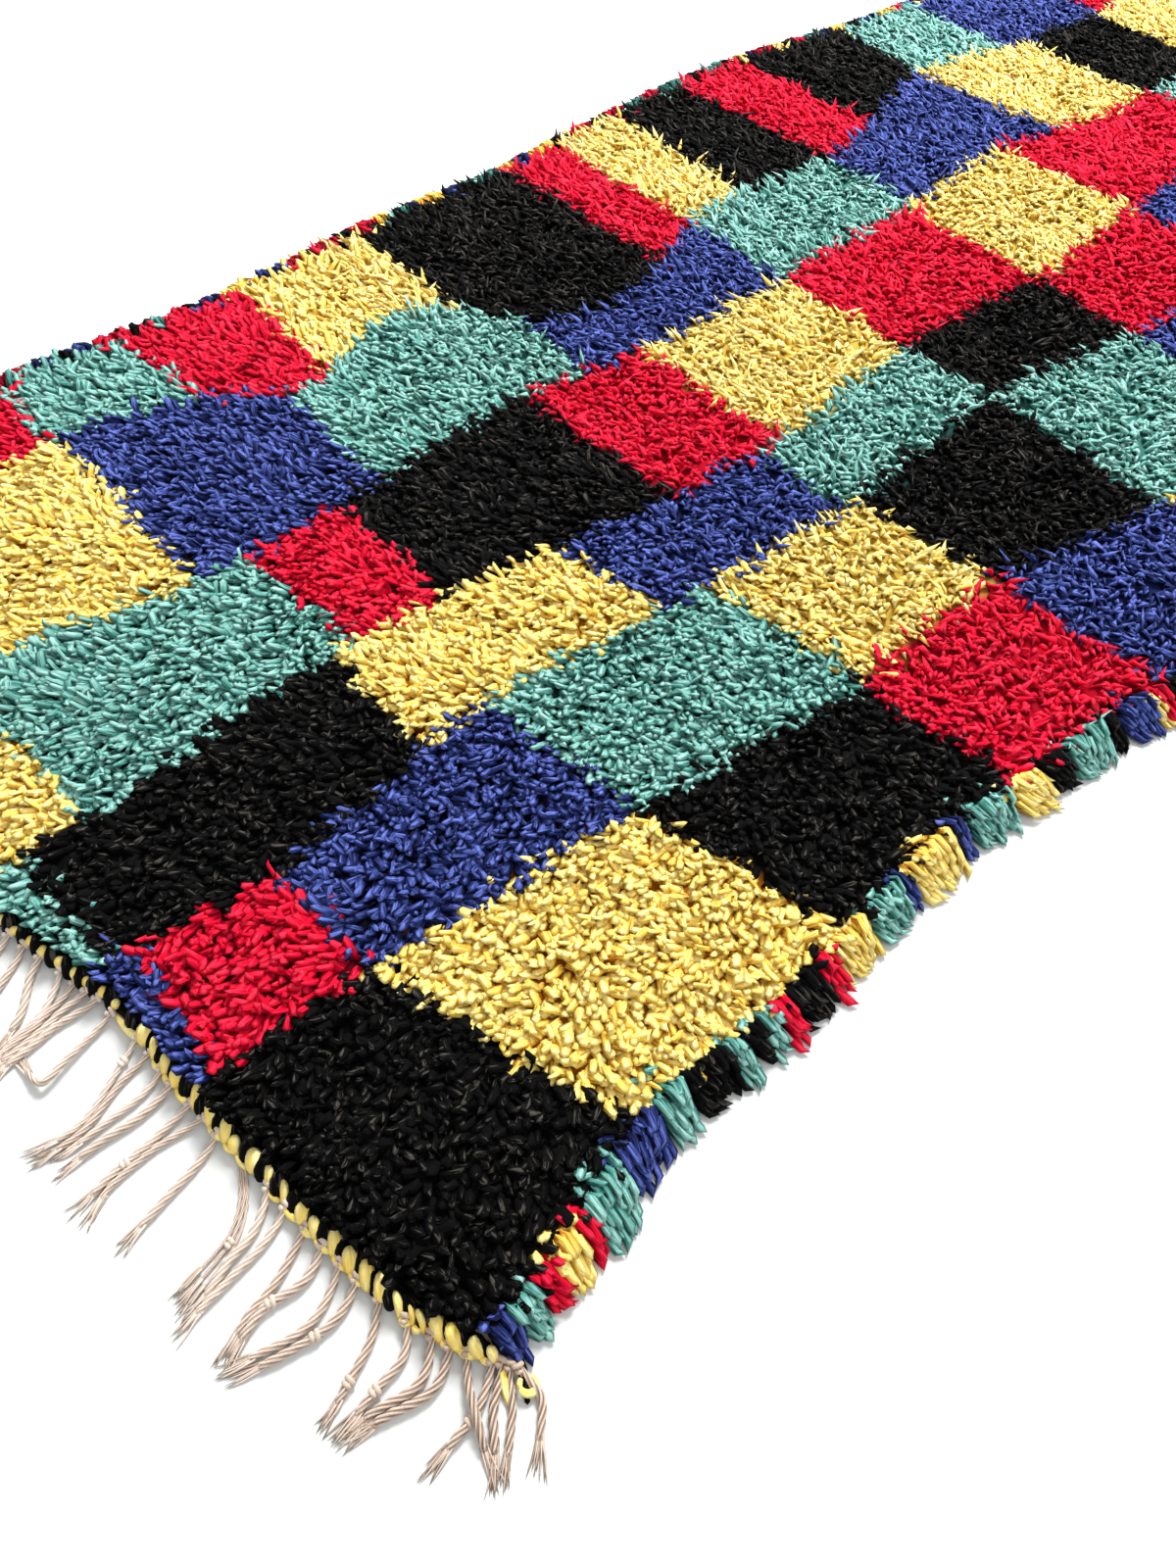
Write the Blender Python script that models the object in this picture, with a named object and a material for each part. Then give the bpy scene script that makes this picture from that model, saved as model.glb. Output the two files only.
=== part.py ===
"""A long shag rug of knotted cotton tufts in plain colour blocks, lying flat on a floor.

Sizes are in metres. Across runs from the left selvedge (0) to the right one, and along runs from
the fringed end (0) to the far end. The finished rug is moved so that its box stands centred on
the origin, with its underside at height 0.
"""

import bpy
import bmesh
import numpy as np

# Driving dimensions
LENGTH = 2.80
NOMINAL_WIDTH = 1.25
WEAVE_THICK = 0.004
PILE_TOP = 0.028
GAP = 0.0003
EDGE_ROUNDS = 8
WEAVE_CELLS_ACROSS, WEAVE_CELLS_ALONG = 48, 36
WEAVE_END_GAP = 0.0006
PILE_END_GAP = 0.0020

# Pile: a lumpy slab whose top is a grid of soft lumps, lower towards its edges
PILE_CELLS_ACROSS = 26
PILE_CELLS_ALONG = 64
LUMP = 0.0045
SWELL = 0.002
SWELL_PITCH = 0.31
RIM_DROP = 0.012
END_DROP = 0.009
SHOULDER = 0.045
SELVEDGE_IN = 0.003

# Locks: the long tufts of both selvedges, which fall over the edge to the floor
LOCK_OUT = (0.020, 0.034)
LOCK_SLIDE = 0.009
LOCK_ROOT_SHARE, LOCK_TIP_SHARE = 0.84, 0.42
LOCK_TIP_HIGH = 0.006
LOCK_UNDERSIDE = 0.0008

# Twined cord of the two ends, with one raised stitch for each turn
CORD_WIDE = 0.014
CORD_HIGH = 0.009
STITCH_PITCH = 0.018
STITCH_SWELL = 0.16
STITCH_SLANT = 0.003
FAR_CORD_STEPS = 30

# Warp fringe: plied warps in a flat strip under the cord, and their loose ends on the floor
STRIP_THICK = 0.0027
STRIP_FRONT, STRIP_BACK = 0.0020, 0.0137
WARP_PITCH = 0.018
WARP_WIDE, WARP_HIGH = 0.0058, 0.0055
WARP_APART = 0.0093
WARP_STEPS = (0.05, 0.14, 0.34, 0.56, 0.78, 1.0)
UNSEEN_UP_TO = 0.752
UNSEEN_TIP_ACROSS = (0.002, 0.040)
UNSEEN_TIP_ALONG = (-0.098, -0.068)
UNSEEN_BOW = (0.000, 0.012)

# Edges of the woven ground, as (along, across) for the selvedges and (across, along) for the ends
LEFT_EDGE = (
    (-0.10, 0.016), (0.30, 0.022), (0.63, 0.031), (0.84, 0.006), (1.12, -0.004), (1.33, -0.032),
    (1.69, -0.052), (1.94, -0.030), (2.35, -0.014), (2.90, 0.006),
)
RIGHT_EDGE = (
    (-0.10, 1.262), (0.07, 1.254), (0.18, 1.231), (0.26, 1.213), (0.36, 1.218), (0.54, 1.208),
    (0.66, 1.203), (0.74, 1.213), (0.90, 1.228), (0.95, 1.238), (1.40, 1.236), (2.00, 1.216),
    (2.90, 1.230),
)
NEAR_EDGE = (
    (-0.04, -0.045), (0.20, -0.058), (0.50, -0.066), (0.72, -0.052), (0.80, -0.033),
    (0.85, -0.021), (0.95, -0.017), (1.05, -0.009), (1.13, -0.001), (1.19, 0.008),
    (1.236, 0.024), (1.275, 0.046),
)
FAR_EDGE = ((-0.04, 2.800), (0.40, 2.812), (0.90, 2.790), (1.30, 2.806))

# The loose warp ends that show, as (root across, tip across, tip along, bow), from the root
SEEN_WARPS = (
    (0.764, 0.050, -0.056, 0.008), (0.787, 0.034, -0.066, 0.002), (0.806, 0.022, -0.072, 0.003),
    (0.822, 0.018, -0.086, -0.002), (0.838, 0.026, -0.076, -0.014), (0.856, 0.008, -0.088, 0.012),
    (0.880, 0.034, -0.094, 0.013), (0.899, 0.020, -0.088, 0.003), (0.916, 0.006, -0.094, 0.012),
    (0.934, -0.002, -0.088, 0.010), (0.955, 0.014, -0.098, 0.008), (0.976, 0.004, -0.092, -0.006),
    (0.996, 0.022, -0.084, 0.005), (1.018, 0.050, -0.078, 0.018), (1.040, 0.036, -0.078, 0.008),
    (1.064, 0.016, -0.086, 0.006), (1.090, 0.030, -0.094, 0.003), (1.110, 0.026, -0.096, 0.002),
    (1.132, 0.010, -0.096, 0.013), (1.152, 0.004, -0.086, 0.012), (1.171, 0.034, -0.066, 0.009),
    (1.189, 0.022, -0.070, 0.011), (1.203, 0.018, -0.078, 0.012), (1.215, 0.022, -0.080, 0.011),
    (1.227, 0.046, -0.058, 0.002), (1.238, 0.052, -0.052, 0.003), (1.248, 0.056, -0.046, 0.000),
)

# Colour blocks: the lines between the six columns, as (along, across)
COLUMN_LINES = (
    ((-0.10, 0.215), (0.48, 0.216), (0.56, 0.262), (0.83, 0.246), (0.87, 0.305), (1.10, 0.346),
     (1.23, 0.283), (1.55, 0.280), (1.71, 0.237), (1.90, 0.180), (2.17, 0.214), (2.90, 0.205)),
    ((-0.10, 0.440), (0.09, 0.442), (0.30, 0.474), (0.51, 0.469), (0.77, 0.448), (0.93, 0.467),
     (1.22, 0.470), (1.54, 0.454), (1.80, 0.430), (1.94, 0.454), (2.90, 0.444)),
    ((-0.10, 0.676), (0.06, 0.674), (0.37, 0.652), (0.63, 0.678), (0.79, 0.700), (0.95, 0.708),
     (1.22, 0.681), (1.51, 0.695), (1.80, 0.674), (2.90, 0.670)),
    ((-0.10, 0.800), (0.16, 0.834), (0.34, 0.807), (0.42, 0.802), (0.66, 0.825), (0.93, 0.840),
     (1.24, 0.820), (1.51, 0.864), (2.90, 0.850)),
    ((-0.10, 0.955), (0.16, 0.965), (0.44, 0.994), (0.72, 1.028), (0.95, 1.026), (1.22, 1.080),
     (1.60, 1.060), (2.90, 1.050)),
)
# The blocks of each column from the fringed end, as (colour, end at its left, end at its right)
COLUMNS = (
    (("red", 0.288, 0.291), ("teal", 0.451, 0.470), ("red", 0.633, 0.617),
     ("yellow", 0.842, 0.832), ("black", 1.116, 1.127), ("red", 1.228, 1.236),
     ("yellow", 1.376, 1.357), ("black", 1.529, 1.545), ("red", 1.685, 1.696),
     ("black", 1.934, 1.911), ("teal", 2.130, 2.120), ("blue", 2.410, 2.400),
     ("red", 2.600, 2.610), ("yellow", 3.0, 3.0)),
    (("yellow", 0.297, 0.300), ("blue", 0.550, 0.546), ("teal", 0.881, 0.875),
     ("blue", 1.233, 1.226), ("teal", 1.545, 1.543), ("blue", 1.900, 1.930),
     ("yellow", 2.169, 2.163), ("black", 2.385, 2.380), ("yellow", 2.590, 2.600),
     ("teal", 3.0, 3.0)),
    (("yellow", 0.049, 0.058), ("teal", 0.353, 0.378), ("red", 0.483, 0.484),
     ("black", 0.770, 0.791), ("red", 0.949, 0.961), ("yellow", 1.229, 1.228),
     ("red", 1.530, 1.509), ("yellow", 1.795, 1.804), ("red", 2.180, 2.190),
     ("teal", 2.420, 2.430), ("black", 2.640, 2.630), ("red", 3.0, 3.0)),
    (("teal", -0.007, 0.000), ("black", 0.345, 0.338), ("yellow", 0.621, 0.656),
     ("blue", 0.919, 0.925), ("teal", 1.229, 1.233), ("black", 1.517, 1.499),
     ("red", 1.796, 1.790), ("blue", 2.100, 2.090), ("black", 2.350, 2.360),
     ("yellow", 2.600, 2.590), ("blue", 3.0, 3.0)),
    (("blue", 0.024, 0.010), ("red", 0.155, 0.160), ("blue", 0.419, 0.440),
     ("teal", 0.709, 0.729), ("yellow", 0.945, 0.956), ("black", 1.235, 1.213),
     ("teal", 1.500, 1.490), ("blue", 1.790, 1.800), ("yellow", 2.080, 2.090),
     ("red", 2.330, 2.340), ("teal", 2.570, 2.580), ("black", 3.0, 3.0)),
    (("black", 0.158, 0.232), ("yellow", 0.444, 0.488), ("black", 0.729, 0.737),
     ("red", 0.954, 0.962), ("blue", 1.225, 1.220), ("yellow", 1.520, 1.510),
     ("red", 1.800, 1.790), ("black", 2.100, 2.110), ("blue", 2.370, 2.380),
     ("yellow", 2.620, 2.610), ("red", 3.0, 3.0)),
)

# Colours in sRGB hex, and how rough each finish is
DYES = {"black": "0D0C0C", "red": "BE1238", "yellow": "E6C45A", "teal": "5BA08E", "blue": "2A3876"}
UNDYED_WARP = "D8C8B4"
GROUND = "C9B797"
COTTON_ROUGH = 0.9


def curve_through(rows, at):
    """Smooth curve through a table's rows: a cubic between two rows, level with their neighbours' slope."""
    x, y = np.array(rows).T
    slope = np.gradient(y, x)
    k = np.clip(np.searchsorted(x, at) - 1, 0, len(x) - 2)
    step = x[k + 1] - x[k]
    t = (at - x[k]) / step
    return (
        (2 * t**3 - 3 * t**2 + 1) * y[k]
        + (t**3 - 2 * t**2 + t) * step * slope[k]
        + (3 * t**2 - 2 * t**3) * y[k + 1]
        + (t**3 - t**2) * step * slope[k + 1]
    )


def rug_plan(r, s, near_in, far_in):
    """Across and along of a place on the ground: r from the left selvedge, s from the near end, both 0 to 1."""
    across = NOMINAL_WIDTH * r + 0 * s
    for _ in range(EDGE_ROUNDS):
        near = curve_through(NEAR_EDGE, across) + near_in
        along = near + (curve_through(FAR_EDGE, across) - far_in - near) * s
        left, right = curve_through(LEFT_EDGE, along), curve_through(RIGHT_EDGE, along)
        across = left + (right - left) * r
    return across, along


def colour_at(across, along):
    """The dye of the block that holds a place."""
    column = sum(across > float(curve_through(line, along)) for line in COLUMN_LINES)
    left = curve_through(COLUMN_LINES[column - 1] if column else LEFT_EDGE, along)
    right = curve_through(COLUMN_LINES[column] if column < len(COLUMN_LINES) else RIGHT_EDGE, along)
    share = (across - left) / (right - left)
    for dye, end_left, end_right in COLUMNS[column]:
        if along < end_left + (end_right - end_left) * share:
            return dye
    return dye


def linear(hex_colour):
    """An sRGB hex colour as linear red, green, blue and full alpha."""
    srgb = np.array([int(hex_colour[i : i + 2], 16) for i in (0, 2, 4)]) / 255
    return (*np.where(srgb < 0.04045, srgb / 12.92, ((srgb + 0.055) / 1.055) ** 2.4), 1.0)


def cotton(name, hex_colour):
    """A matt cotton material."""
    material = bpy.data.materials.new(name)
    material.use_nodes = True
    shader = material.node_tree.nodes["Principled BSDF"]
    shader.inputs["Base Color"].default_value = linear(hex_colour)
    shader.inputs["Roughness"].default_value = COTTON_ROUGH
    shader.inputs["Metallic"].default_value = 0.0
    return material


def add_piece(name, bm, materials):
    """A named object from a bmesh, at the origin."""
    bmesh.ops.recalc_face_normals(bm, faces=bm.faces)
    mesh = bpy.data.meshes.new(name)
    bm.to_mesh(mesh)
    bm.free()
    for material in materials:
        mesh.materials.append(material)
    piece = bpy.data.objects.new(name, mesh)
    bpy.context.collection.objects.link(piece)
    return piece


def ring_of(n_across, n_along):
    """Grid indices round the border of a grid, anticlockwise from its near left corner."""
    near = [(i, 0) for i in range(n_across)]
    right = [(n_across, j) for j in range(n_along)]
    far = [(i, n_along) for i in range(n_across, 0, -1)]
    left = [(0, j) for j in range(n_along, 0, -1)]
    return near + right + far + left


def ground_weave():
    """The woven ground: a flat sheet cut square to its edges, under the whole pile."""
    n_across, n_along = WEAVE_CELLS_ACROSS, WEAVE_CELLS_ALONG
    r = np.linspace(0, 1, n_across + 1)[:, None]
    s = np.linspace(0, 1, n_along + 1)[None, :]
    across, along = rug_plan(r, s, CORD_WIDE + WEAVE_END_GAP, CORD_WIDE + WEAVE_END_GAP)
    across = across + SELVEDGE_IN * (1 - 2 * r)
    bm = bmesh.new()
    levels = [
        [bm.verts.new((across[i, j], along[i, j], z)) for i, j in ring_of(n_across, n_along)]
        for z in (0.0, WEAVE_THICK)
    ]
    for level in levels:
        bm.faces.new(level)
    n = len(levels[0])
    for k in range(n):
        bm.faces.new((levels[0][k], levels[0][(k + 1) % n], levels[1][(k + 1) % n], levels[1][k]))
    return add_piece("ground_weave", bm, [cotton("woven undyed cotton", GROUND)])


def pile_heights(across, along, r, s, rng):
    """Pile top: random lumps on slow swells, sinking over a shoulder to every edge."""
    lumps = LUMP * rng.uniform(-1, 1, across.shape)
    swells = SWELL * np.sin(2 * np.pi * across / SWELL_PITCH) * np.cos(2 * np.pi * along / SWELL_PITCH)
    from_side = np.minimum(r, 1 - r) * NOMINAL_WIDTH
    from_end = np.minimum(s, 1 - s) * LENGTH
    sink_side = RIM_DROP * np.clip(1 - from_side / SHOULDER, 0, 1) ** 2
    sink_end = END_DROP * np.clip(1 - from_end / SHOULDER, 0, 1) ** 2
    return PILE_TOP + lumps + swells - np.maximum(sink_side, sink_end)


def fall_of_lock(bm, face, side, rng):
    """One lock: the rim's face drawn out and down to the floor in two steps, narrower to its tip."""
    reach = rng.uniform(*LOCK_OUT)
    slide = rng.uniform(-LOCK_SLIDE, 0)
    root = np.array([v.co[:] for v in face.verts])
    middle = root[:, 1].mean()
    top = root[:, 2].max()
    for share, width, high, under in (
        (0.45, LOCK_ROOT_SHARE, 0.62 * top, LOCK_UNDERSIDE),
        (1.0, LOCK_TIP_SHARE, LOCK_TIP_HIGH, 0.0),
    ):
        face = bmesh.ops.extrude_discrete_faces(bm, faces=[face])["faces"][0]
        for vert, start in zip(face.verts, root):
            is_top = start[2] > WEAVE_THICK + 2 * GAP
            vert.co.x = start[0] + side * reach * share
            vert.co.y = middle + (start[1] - middle) * width + slide * share
            vert.co.z = high if is_top else under


def pile():
    """The knotted pile: a slab over the ground weave, lumpy on top, with locks along both selvedges."""
    rng = np.random.default_rng(11)
    nx, ny = PILE_CELLS_ACROSS, PILE_CELLS_ALONG
    r = np.linspace(0, 1, nx + 1)[:, None] + np.zeros((1, ny + 1))
    s = np.linspace(0, 1, ny + 1)[None, :] + np.zeros((nx + 1, 1))
    across, along = rug_plan(r, s, CORD_WIDE + PILE_END_GAP, CORD_WIDE + PILE_END_GAP)
    high = pile_heights(across, along, r, s, rng)
    bm = bmesh.new()
    top = [[bm.verts.new((across[i, j], along[i, j], high[i, j])) for j in range(ny + 1)] for i in range(nx + 1)]
    dyes = list(DYES)
    for i in range(nx):
        for j in range(ny):
            face = bm.faces.new((top[i][j], top[i + 1][j], top[i + 1][j + 1], top[i][j + 1]))
            centre = face.calc_center_median()
            face.material_index = dyes.index(colour_at(centre.x, centre.y))
    ring = ring_of(nx, ny)
    under = [bm.verts.new((across[i, j], along[i, j], WEAVE_THICK + GAP)) for i, j in ring]
    bm.faces.new(under[::-1])
    for k, (i, j) in enumerate(ring):
        i2, j2 = ring[(k + 1) % len(ring)]
        face = bm.faces.new((under[k], under[(k + 1) % len(ring)], top[i2][j2], top[i][j]))
        face.material_index = int(rng.integers(len(dyes)))
        if i == i2:
            fall_of_lock(bm, face, 1 if i else -1, rng)
    return add_piece("pile", bm, [cotton(f"{dye} cotton tufts", DYES[dye]) for dye in dyes])


def end_path(edge, first, last, steps):
    """Points along an end, from selvedge to selvedge, and the way square to it, out of the rug."""
    across = np.linspace(first, last, steps + 1)
    along = curve_through(edge, across)
    path = np.stack([across, along], 1)
    way = np.gradient(path, axis=0)
    way /= np.linalg.norm(way, axis=1)[:, None]
    return path, np.stack([way[:, 1], -way[:, 0]], 1)


def twined_cord(name, edge, outward, steps, swell, base):
    """A flat-bottomed cord along an end: six points round, each stitch a raised, slanted crest."""
    left, right = corner_across(edge)
    path, out = end_path(edge, left, right, steps)
    crest = np.where(np.arange(steps + 1) % 2 == 1, 1 + swell, 1 - swell)
    # Round the section: inwards share of the width, height share, and slant share
    section = ((0.06, 0.0, 0.0), (0.0, 0.45, 0.3), (0.28, 1.0, 1.0), (0.72, 1.0, 1.0), (1.0, 0.45, 0.3), (0.94, 0.0, 0.0))
    bm = bmesh.new()
    rings = []
    for k in range(steps + 1):
        ring = []
        for inward, height, slant in section:
            off = CORD_WIDE * (0.5 + (inward - 0.5) * (1 + (crest[k] - 1) * 0.35) / (1 + swell * 0.35))
            x = path[k, 0] - outward * out[k, 0] * off + STITCH_SLANT * slant * (swell > 0)
            y = path[k, 1] - outward * out[k, 1] * off
            ring.append(bm.verts.new((x, y, base + CORD_HIGH * height * crest[k] / (1 + swell))))
        rings.append(ring)
    n = len(section)
    for a, b in zip(rings, rings[1:]):
        for k in range(n):
            bm.faces.new((a[k], a[(k + 1) % n], b[(k + 1) % n], b[k]))
    bm.faces.new(rings[0])
    bm.faces.new(rings[-1])
    return add_piece(name, bm, [cotton(f"{name} twined cotton", DYES["yellow"])])


def corner_across(edge):
    """Where an end meets the two selvedges."""
    left, right = 0.0, NOMINAL_WIDTH
    for _ in range(EDGE_ROUNDS):
        left = float(curve_through(LEFT_EDGE, curve_through(edge, left)))
        right = float(curve_through(RIGHT_EDGE, curve_through(edge, right)))
    return left, right


def loose_warps():
    """Every loose warp end, as rows of root across, tip across, tip along and bow."""
    rng = np.random.default_rng(5)
    left, _ = corner_across(NEAR_EDGE)
    roots = np.arange(left + 0.5 * WARP_PITCH, UNSEEN_UP_TO, WARP_PITCH)
    unseen = [
        (root, rng.uniform(*UNSEEN_TIP_ACROSS), rng.uniform(*UNSEEN_TIP_ALONG), rng.uniform(*UNSEEN_BOW))
        for root in roots
    ]
    return np.array(unseen + list(SEEN_WARPS))


def spread_apart(x, least):
    """Moves sorted places just enough that neighbours are at least this far apart."""
    y = x - least * np.arange(len(x))
    up = np.maximum.accumulate(y)
    down = np.minimum.accumulate(y[::-1])[::-1]
    return (up + down) / 2 + least * np.arange(len(x))


def warp_fringe():
    """Warps in a flat strip under the cord; each root face is drawn out over the floor along a bowed line."""
    warps = loose_warps()
    left, right = corner_across(NEAR_EDGE)
    roots = spread_apart(warps[:, 0], WARP_APART)
    stations = np.concatenate([[left], np.stack([roots - WARP_WIDE / 2, roots + WARP_WIDE / 2], 1).ravel(), [right]])
    along = curve_through(NEAR_EDGE, stations)
    bm = bmesh.new()
    corners = ((STRIP_FRONT, 0.0), (STRIP_FRONT, STRIP_THICK), (STRIP_BACK, STRIP_THICK), (STRIP_BACK, 0.0))
    rings = [[bm.verts.new((x, y + inward, z)) for inward, z in corners] for x, y in zip(stations, along)]
    fronts = []
    for k, (a, b) in enumerate(zip(rings, rings[1:])):
        for c in range(4):
            face = bm.faces.new((a[c], a[(c + 1) % 4], b[(c + 1) % 4], b[c]))
            if c == 0 and k % 2 == 1:
                fronts.append(face)
    bm.faces.new(rings[0])
    bm.faces.new(rings[-1])
    near = curve_through(NEAR_EDGE, roots)
    # Centre line of every warp at every step, with neighbours held apart
    lines = []
    for t in WARP_STEPS:
        sag = 4 * t * (1 - t) * warps[:, 3]
        x = roots + warps[:, 1] * t + sag
        y = near + warps[:, 2] * t
        lines.append(np.stack([spread_apart(x, WARP_APART), y], 1))
    lines = np.array(lines)
    for n, face in enumerate(fronts):
        for k, t in enumerate(WARP_STEPS):
            before = lines[k - 1, n] if k else np.array([roots[n], near[n] + STRIP_FRONT])
            way = lines[k, n] - before
            way /= np.linalg.norm(way)
            square = np.array([-way[1], way[0]])
            wide = WARP_WIDE * (0.75 if k in (0, len(WARP_STEPS) - 1) else 0.92)
            high = STRIP_THICK if k == 0 else WARP_HIGH * (0.7 if k == len(WARP_STEPS) - 1 else 1)
            face = bmesh.ops.extrude_discrete_faces(bm, faces=[face])["faces"][0]
            middle = np.mean([v.co[:] for v in face.verts], axis=0)
            for vert in face.verts:
                side = 1 if (vert.co.x - middle[0]) * square[0] > 0 else -1
                upper = vert.co.z > middle[2]
                spread = side * wide / 2 * (0.7 if upper else 1)
                vert.co.xy = lines[k, n] + square * spread
                vert.co.z = high if upper else 0.0
    return add_piece("warp_fringe", bm, [cotton("plied undyed cotton warps", UNDYED_WARP)])


def centre_on_floor(pieces):
    """Moves every mesh so that the whole rug's box is centred on the origin in plan."""
    corners = np.array([v.co[:2] for piece in pieces for v in piece.data.vertices])
    middle = (corners.min(0) + corners.max(0)) / 2
    for piece in pieces:
        for vert in piece.data.vertices:
            vert.co.x -= middle[0]
            vert.co.y -= middle[1]


def build():
    for old in list(bpy.data.objects):
        bpy.data.objects.remove(old, do_unlink=True)
    left, right = corner_across(NEAR_EDGE)
    near_steps = 2 * round((right - left) / STITCH_PITCH)
    pieces = [
        ground_weave(),
        pile(),
        twined_cord("near_end_cord", NEAR_EDGE, 1, near_steps, STITCH_SWELL, STRIP_THICK + GAP),
        twined_cord("far_end_cord", FAR_EDGE, -1, FAR_CORD_STEPS, 0.0, 0.0),
        warp_fringe(),
    ]
    centre_on_floor(pieces)


build()
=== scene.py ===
"""A long shag rug of knotted cotton tufts in plain colour blocks, lying flat on a pale floor.

Sizes are in metres, but for the tables that say millimetres. The rug's own places are given as across
(0 at the left selvedge, about 1.25 at the right one) and along (0 at the fringed end), and TO_FRAME
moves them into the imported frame.
"""

import bpy
import numpy as np
from mathutils import Matrix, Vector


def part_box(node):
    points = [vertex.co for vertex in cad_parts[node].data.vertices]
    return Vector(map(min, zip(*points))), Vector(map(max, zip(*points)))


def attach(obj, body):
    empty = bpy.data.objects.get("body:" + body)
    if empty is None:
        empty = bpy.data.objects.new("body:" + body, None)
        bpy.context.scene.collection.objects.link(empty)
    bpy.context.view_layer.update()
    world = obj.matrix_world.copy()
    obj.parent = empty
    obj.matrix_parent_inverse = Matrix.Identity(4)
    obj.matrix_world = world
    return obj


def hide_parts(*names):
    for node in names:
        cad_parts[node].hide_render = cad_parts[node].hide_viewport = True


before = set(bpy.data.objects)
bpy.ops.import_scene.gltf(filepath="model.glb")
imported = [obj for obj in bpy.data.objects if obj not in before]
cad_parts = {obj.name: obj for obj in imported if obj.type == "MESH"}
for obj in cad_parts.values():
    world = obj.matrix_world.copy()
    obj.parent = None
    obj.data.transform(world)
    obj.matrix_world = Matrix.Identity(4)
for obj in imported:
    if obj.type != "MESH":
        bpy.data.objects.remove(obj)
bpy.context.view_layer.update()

# Ground weave
# The base that everything is knotted into: undyed cotton warps and wefts, plain woven by hand on an
# upright loom, so the selvedges wander. It is about 4 mm thick, and shows only from below.

WEAVE_THICK = 0.004
NOMINAL_WIDTH = 1.25
NOMINAL_LENGTH = 2.8
CORD_WIDE = 0.014
WEAVE_END_GAP = 0.0006
SELVEDGE_IN = 0.003
EDGE_ROUNDS = 8
WEAVE_CELLS = (48, 36)
# Spacing of the warps and of the wefts, and the length of one band of a wave texture at a scale of 1
WARP_SPACING = 0.006
WEFT_SPACING = 0.004
WAVE_BAND = np.pi / 10

# Edges in millimetres, as (along, across) for the selvedges and (across, along) for the ends
MM = 1000
LEFT_EDGE = (
    (-100, 16), (300, 22), (630, 31), (840, 6), (1120, -4), (1330, -32), (1690, -52), (1940, -30),
    (2350, -14), (2900, 6),
)
RIGHT_EDGE = (
    (-100, 1262), (70, 1254), (180, 1231), (260, 1213), (360, 1218), (540, 1208), (660, 1203),
    (740, 1213), (900, 1228), (950, 1238), (1400, 1236), (2000, 1216), (2900, 1230),
)
NEAR_EDGE = (
    (-40, -45), (200, -58), (500, -66), (720, -52), (800, -33), (850, -21), (950, -17), (1050, -9),
    (1130, -1), (1190, 8), (1236, 24), (1275, 46),
)
FAR_EDGE = ((-40, 2800), (400, 2812), (900, 2790), (1300, 2806))


def curve_through(rows, at):
    """A cubic between each two of a table's rows, its slopes from the rows on both sides."""
    x, y = np.array(rows).T / MM
    slope = np.gradient(y, x)
    k = np.clip(np.searchsorted(x, at) - 1, 0, len(x) - 2)
    step = x[k + 1] - x[k]
    t = (at - x[k]) / step
    return (
        (2 * t**3 - 3 * t**2 + 1) * y[k]
        + (t**3 - 2 * t**2 + t) * step * slope[k]
        + (3 * t**2 - 2 * t**3) * y[k + 1]
        + (t**3 - t**2) * step * slope[k + 1]
    )


def rug_plan(r, s, end_in):
    """Across and along of a place: r of the way between selvedges, s of the way between the ends.

    The edges bend, so across and along are worked out in turn until both settle.
    """
    across = NOMINAL_WIDTH * r + 0 * s
    for _ in range(EDGE_ROUNDS):
        near = curve_through(NEAR_EDGE, across) + end_in
        along = near + (curve_through(FAR_EDGE, across) - end_in - near) * s
        left, right = curve_through(LEFT_EDGE, along), curve_through(RIGHT_EDGE, along)
        across = left + (right - left) * r
    return across, along


def linear(hex_colour):
    """An sRGB hex colour as linear red, green, blue and full alpha."""
    srgb = np.array([int(hex_colour[i : i + 2], 16) for i in (0, 2, 4)]) / 255
    return (*np.where(srgb < 0.04045, srgb / 12.92, ((srgb + 0.055) / 1.055) ** 2.4), 1.0)


def new_material(name):
    """A material with an empty node tree, and that tree."""
    made = bpy.data.materials.new(name)
    made.use_nodes = True
    made.node_tree.nodes.clear()
    return made, made.node_tree


def node(tree, kind, settings=(), links=(), **properties):
    """Adds a node: its properties, its sockets' values, and links into its sockets from other sockets."""
    made = tree.nodes.new("ShaderNode" + kind)
    for key, value in properties.items():
        setattr(made, key, value)
    for socket, value in dict(settings).items():
        made.inputs[socket].default_value = value
    for socket, source in dict(links).items():
        tree.links.new(source, made.inputs[socket])
    return made


def shade_ramp(tree, source, stops):
    """The colour that a ramp gives to a source, from stops as (place, linear colour) in their order."""
    made = node(tree, "ValToRGB", links={"Fac": source})
    ramp = made.color_ramp.elements
    first, *between, last = stops
    for end, (place, colour) in zip(ramp, (first, last)):
        end.position = place
        end.color = colour
    for place, colour in between:
        ramp.new(place).color = colour
    return made.outputs["Color"]


def end_material(tree, settings, shade=None, height=None, strength=0.0, depth=0.0):
    """Ends a tree with one shader, its colour from a socket, and relief where a height is given."""
    links = {}
    if shade is not None:
        links["Base Color"] = shade
    if height is not None:
        relief = node(tree, "Bump", {"Strength": strength, "Distance": depth}, {"Height": height})
        links["Normal"] = relief.outputs["Normal"]
    shader = node(tree, "BsdfPrincipled", settings, links)
    node(tree, "OutputMaterial", links={"Surface": shader.outputs[0]})


def fill(layer, key, values, kind=np.float32):
    """Sets one property of every element of a mesh layer."""
    layer.foreach_set(key, np.asarray(values, dtype=kind).ravel())


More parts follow.
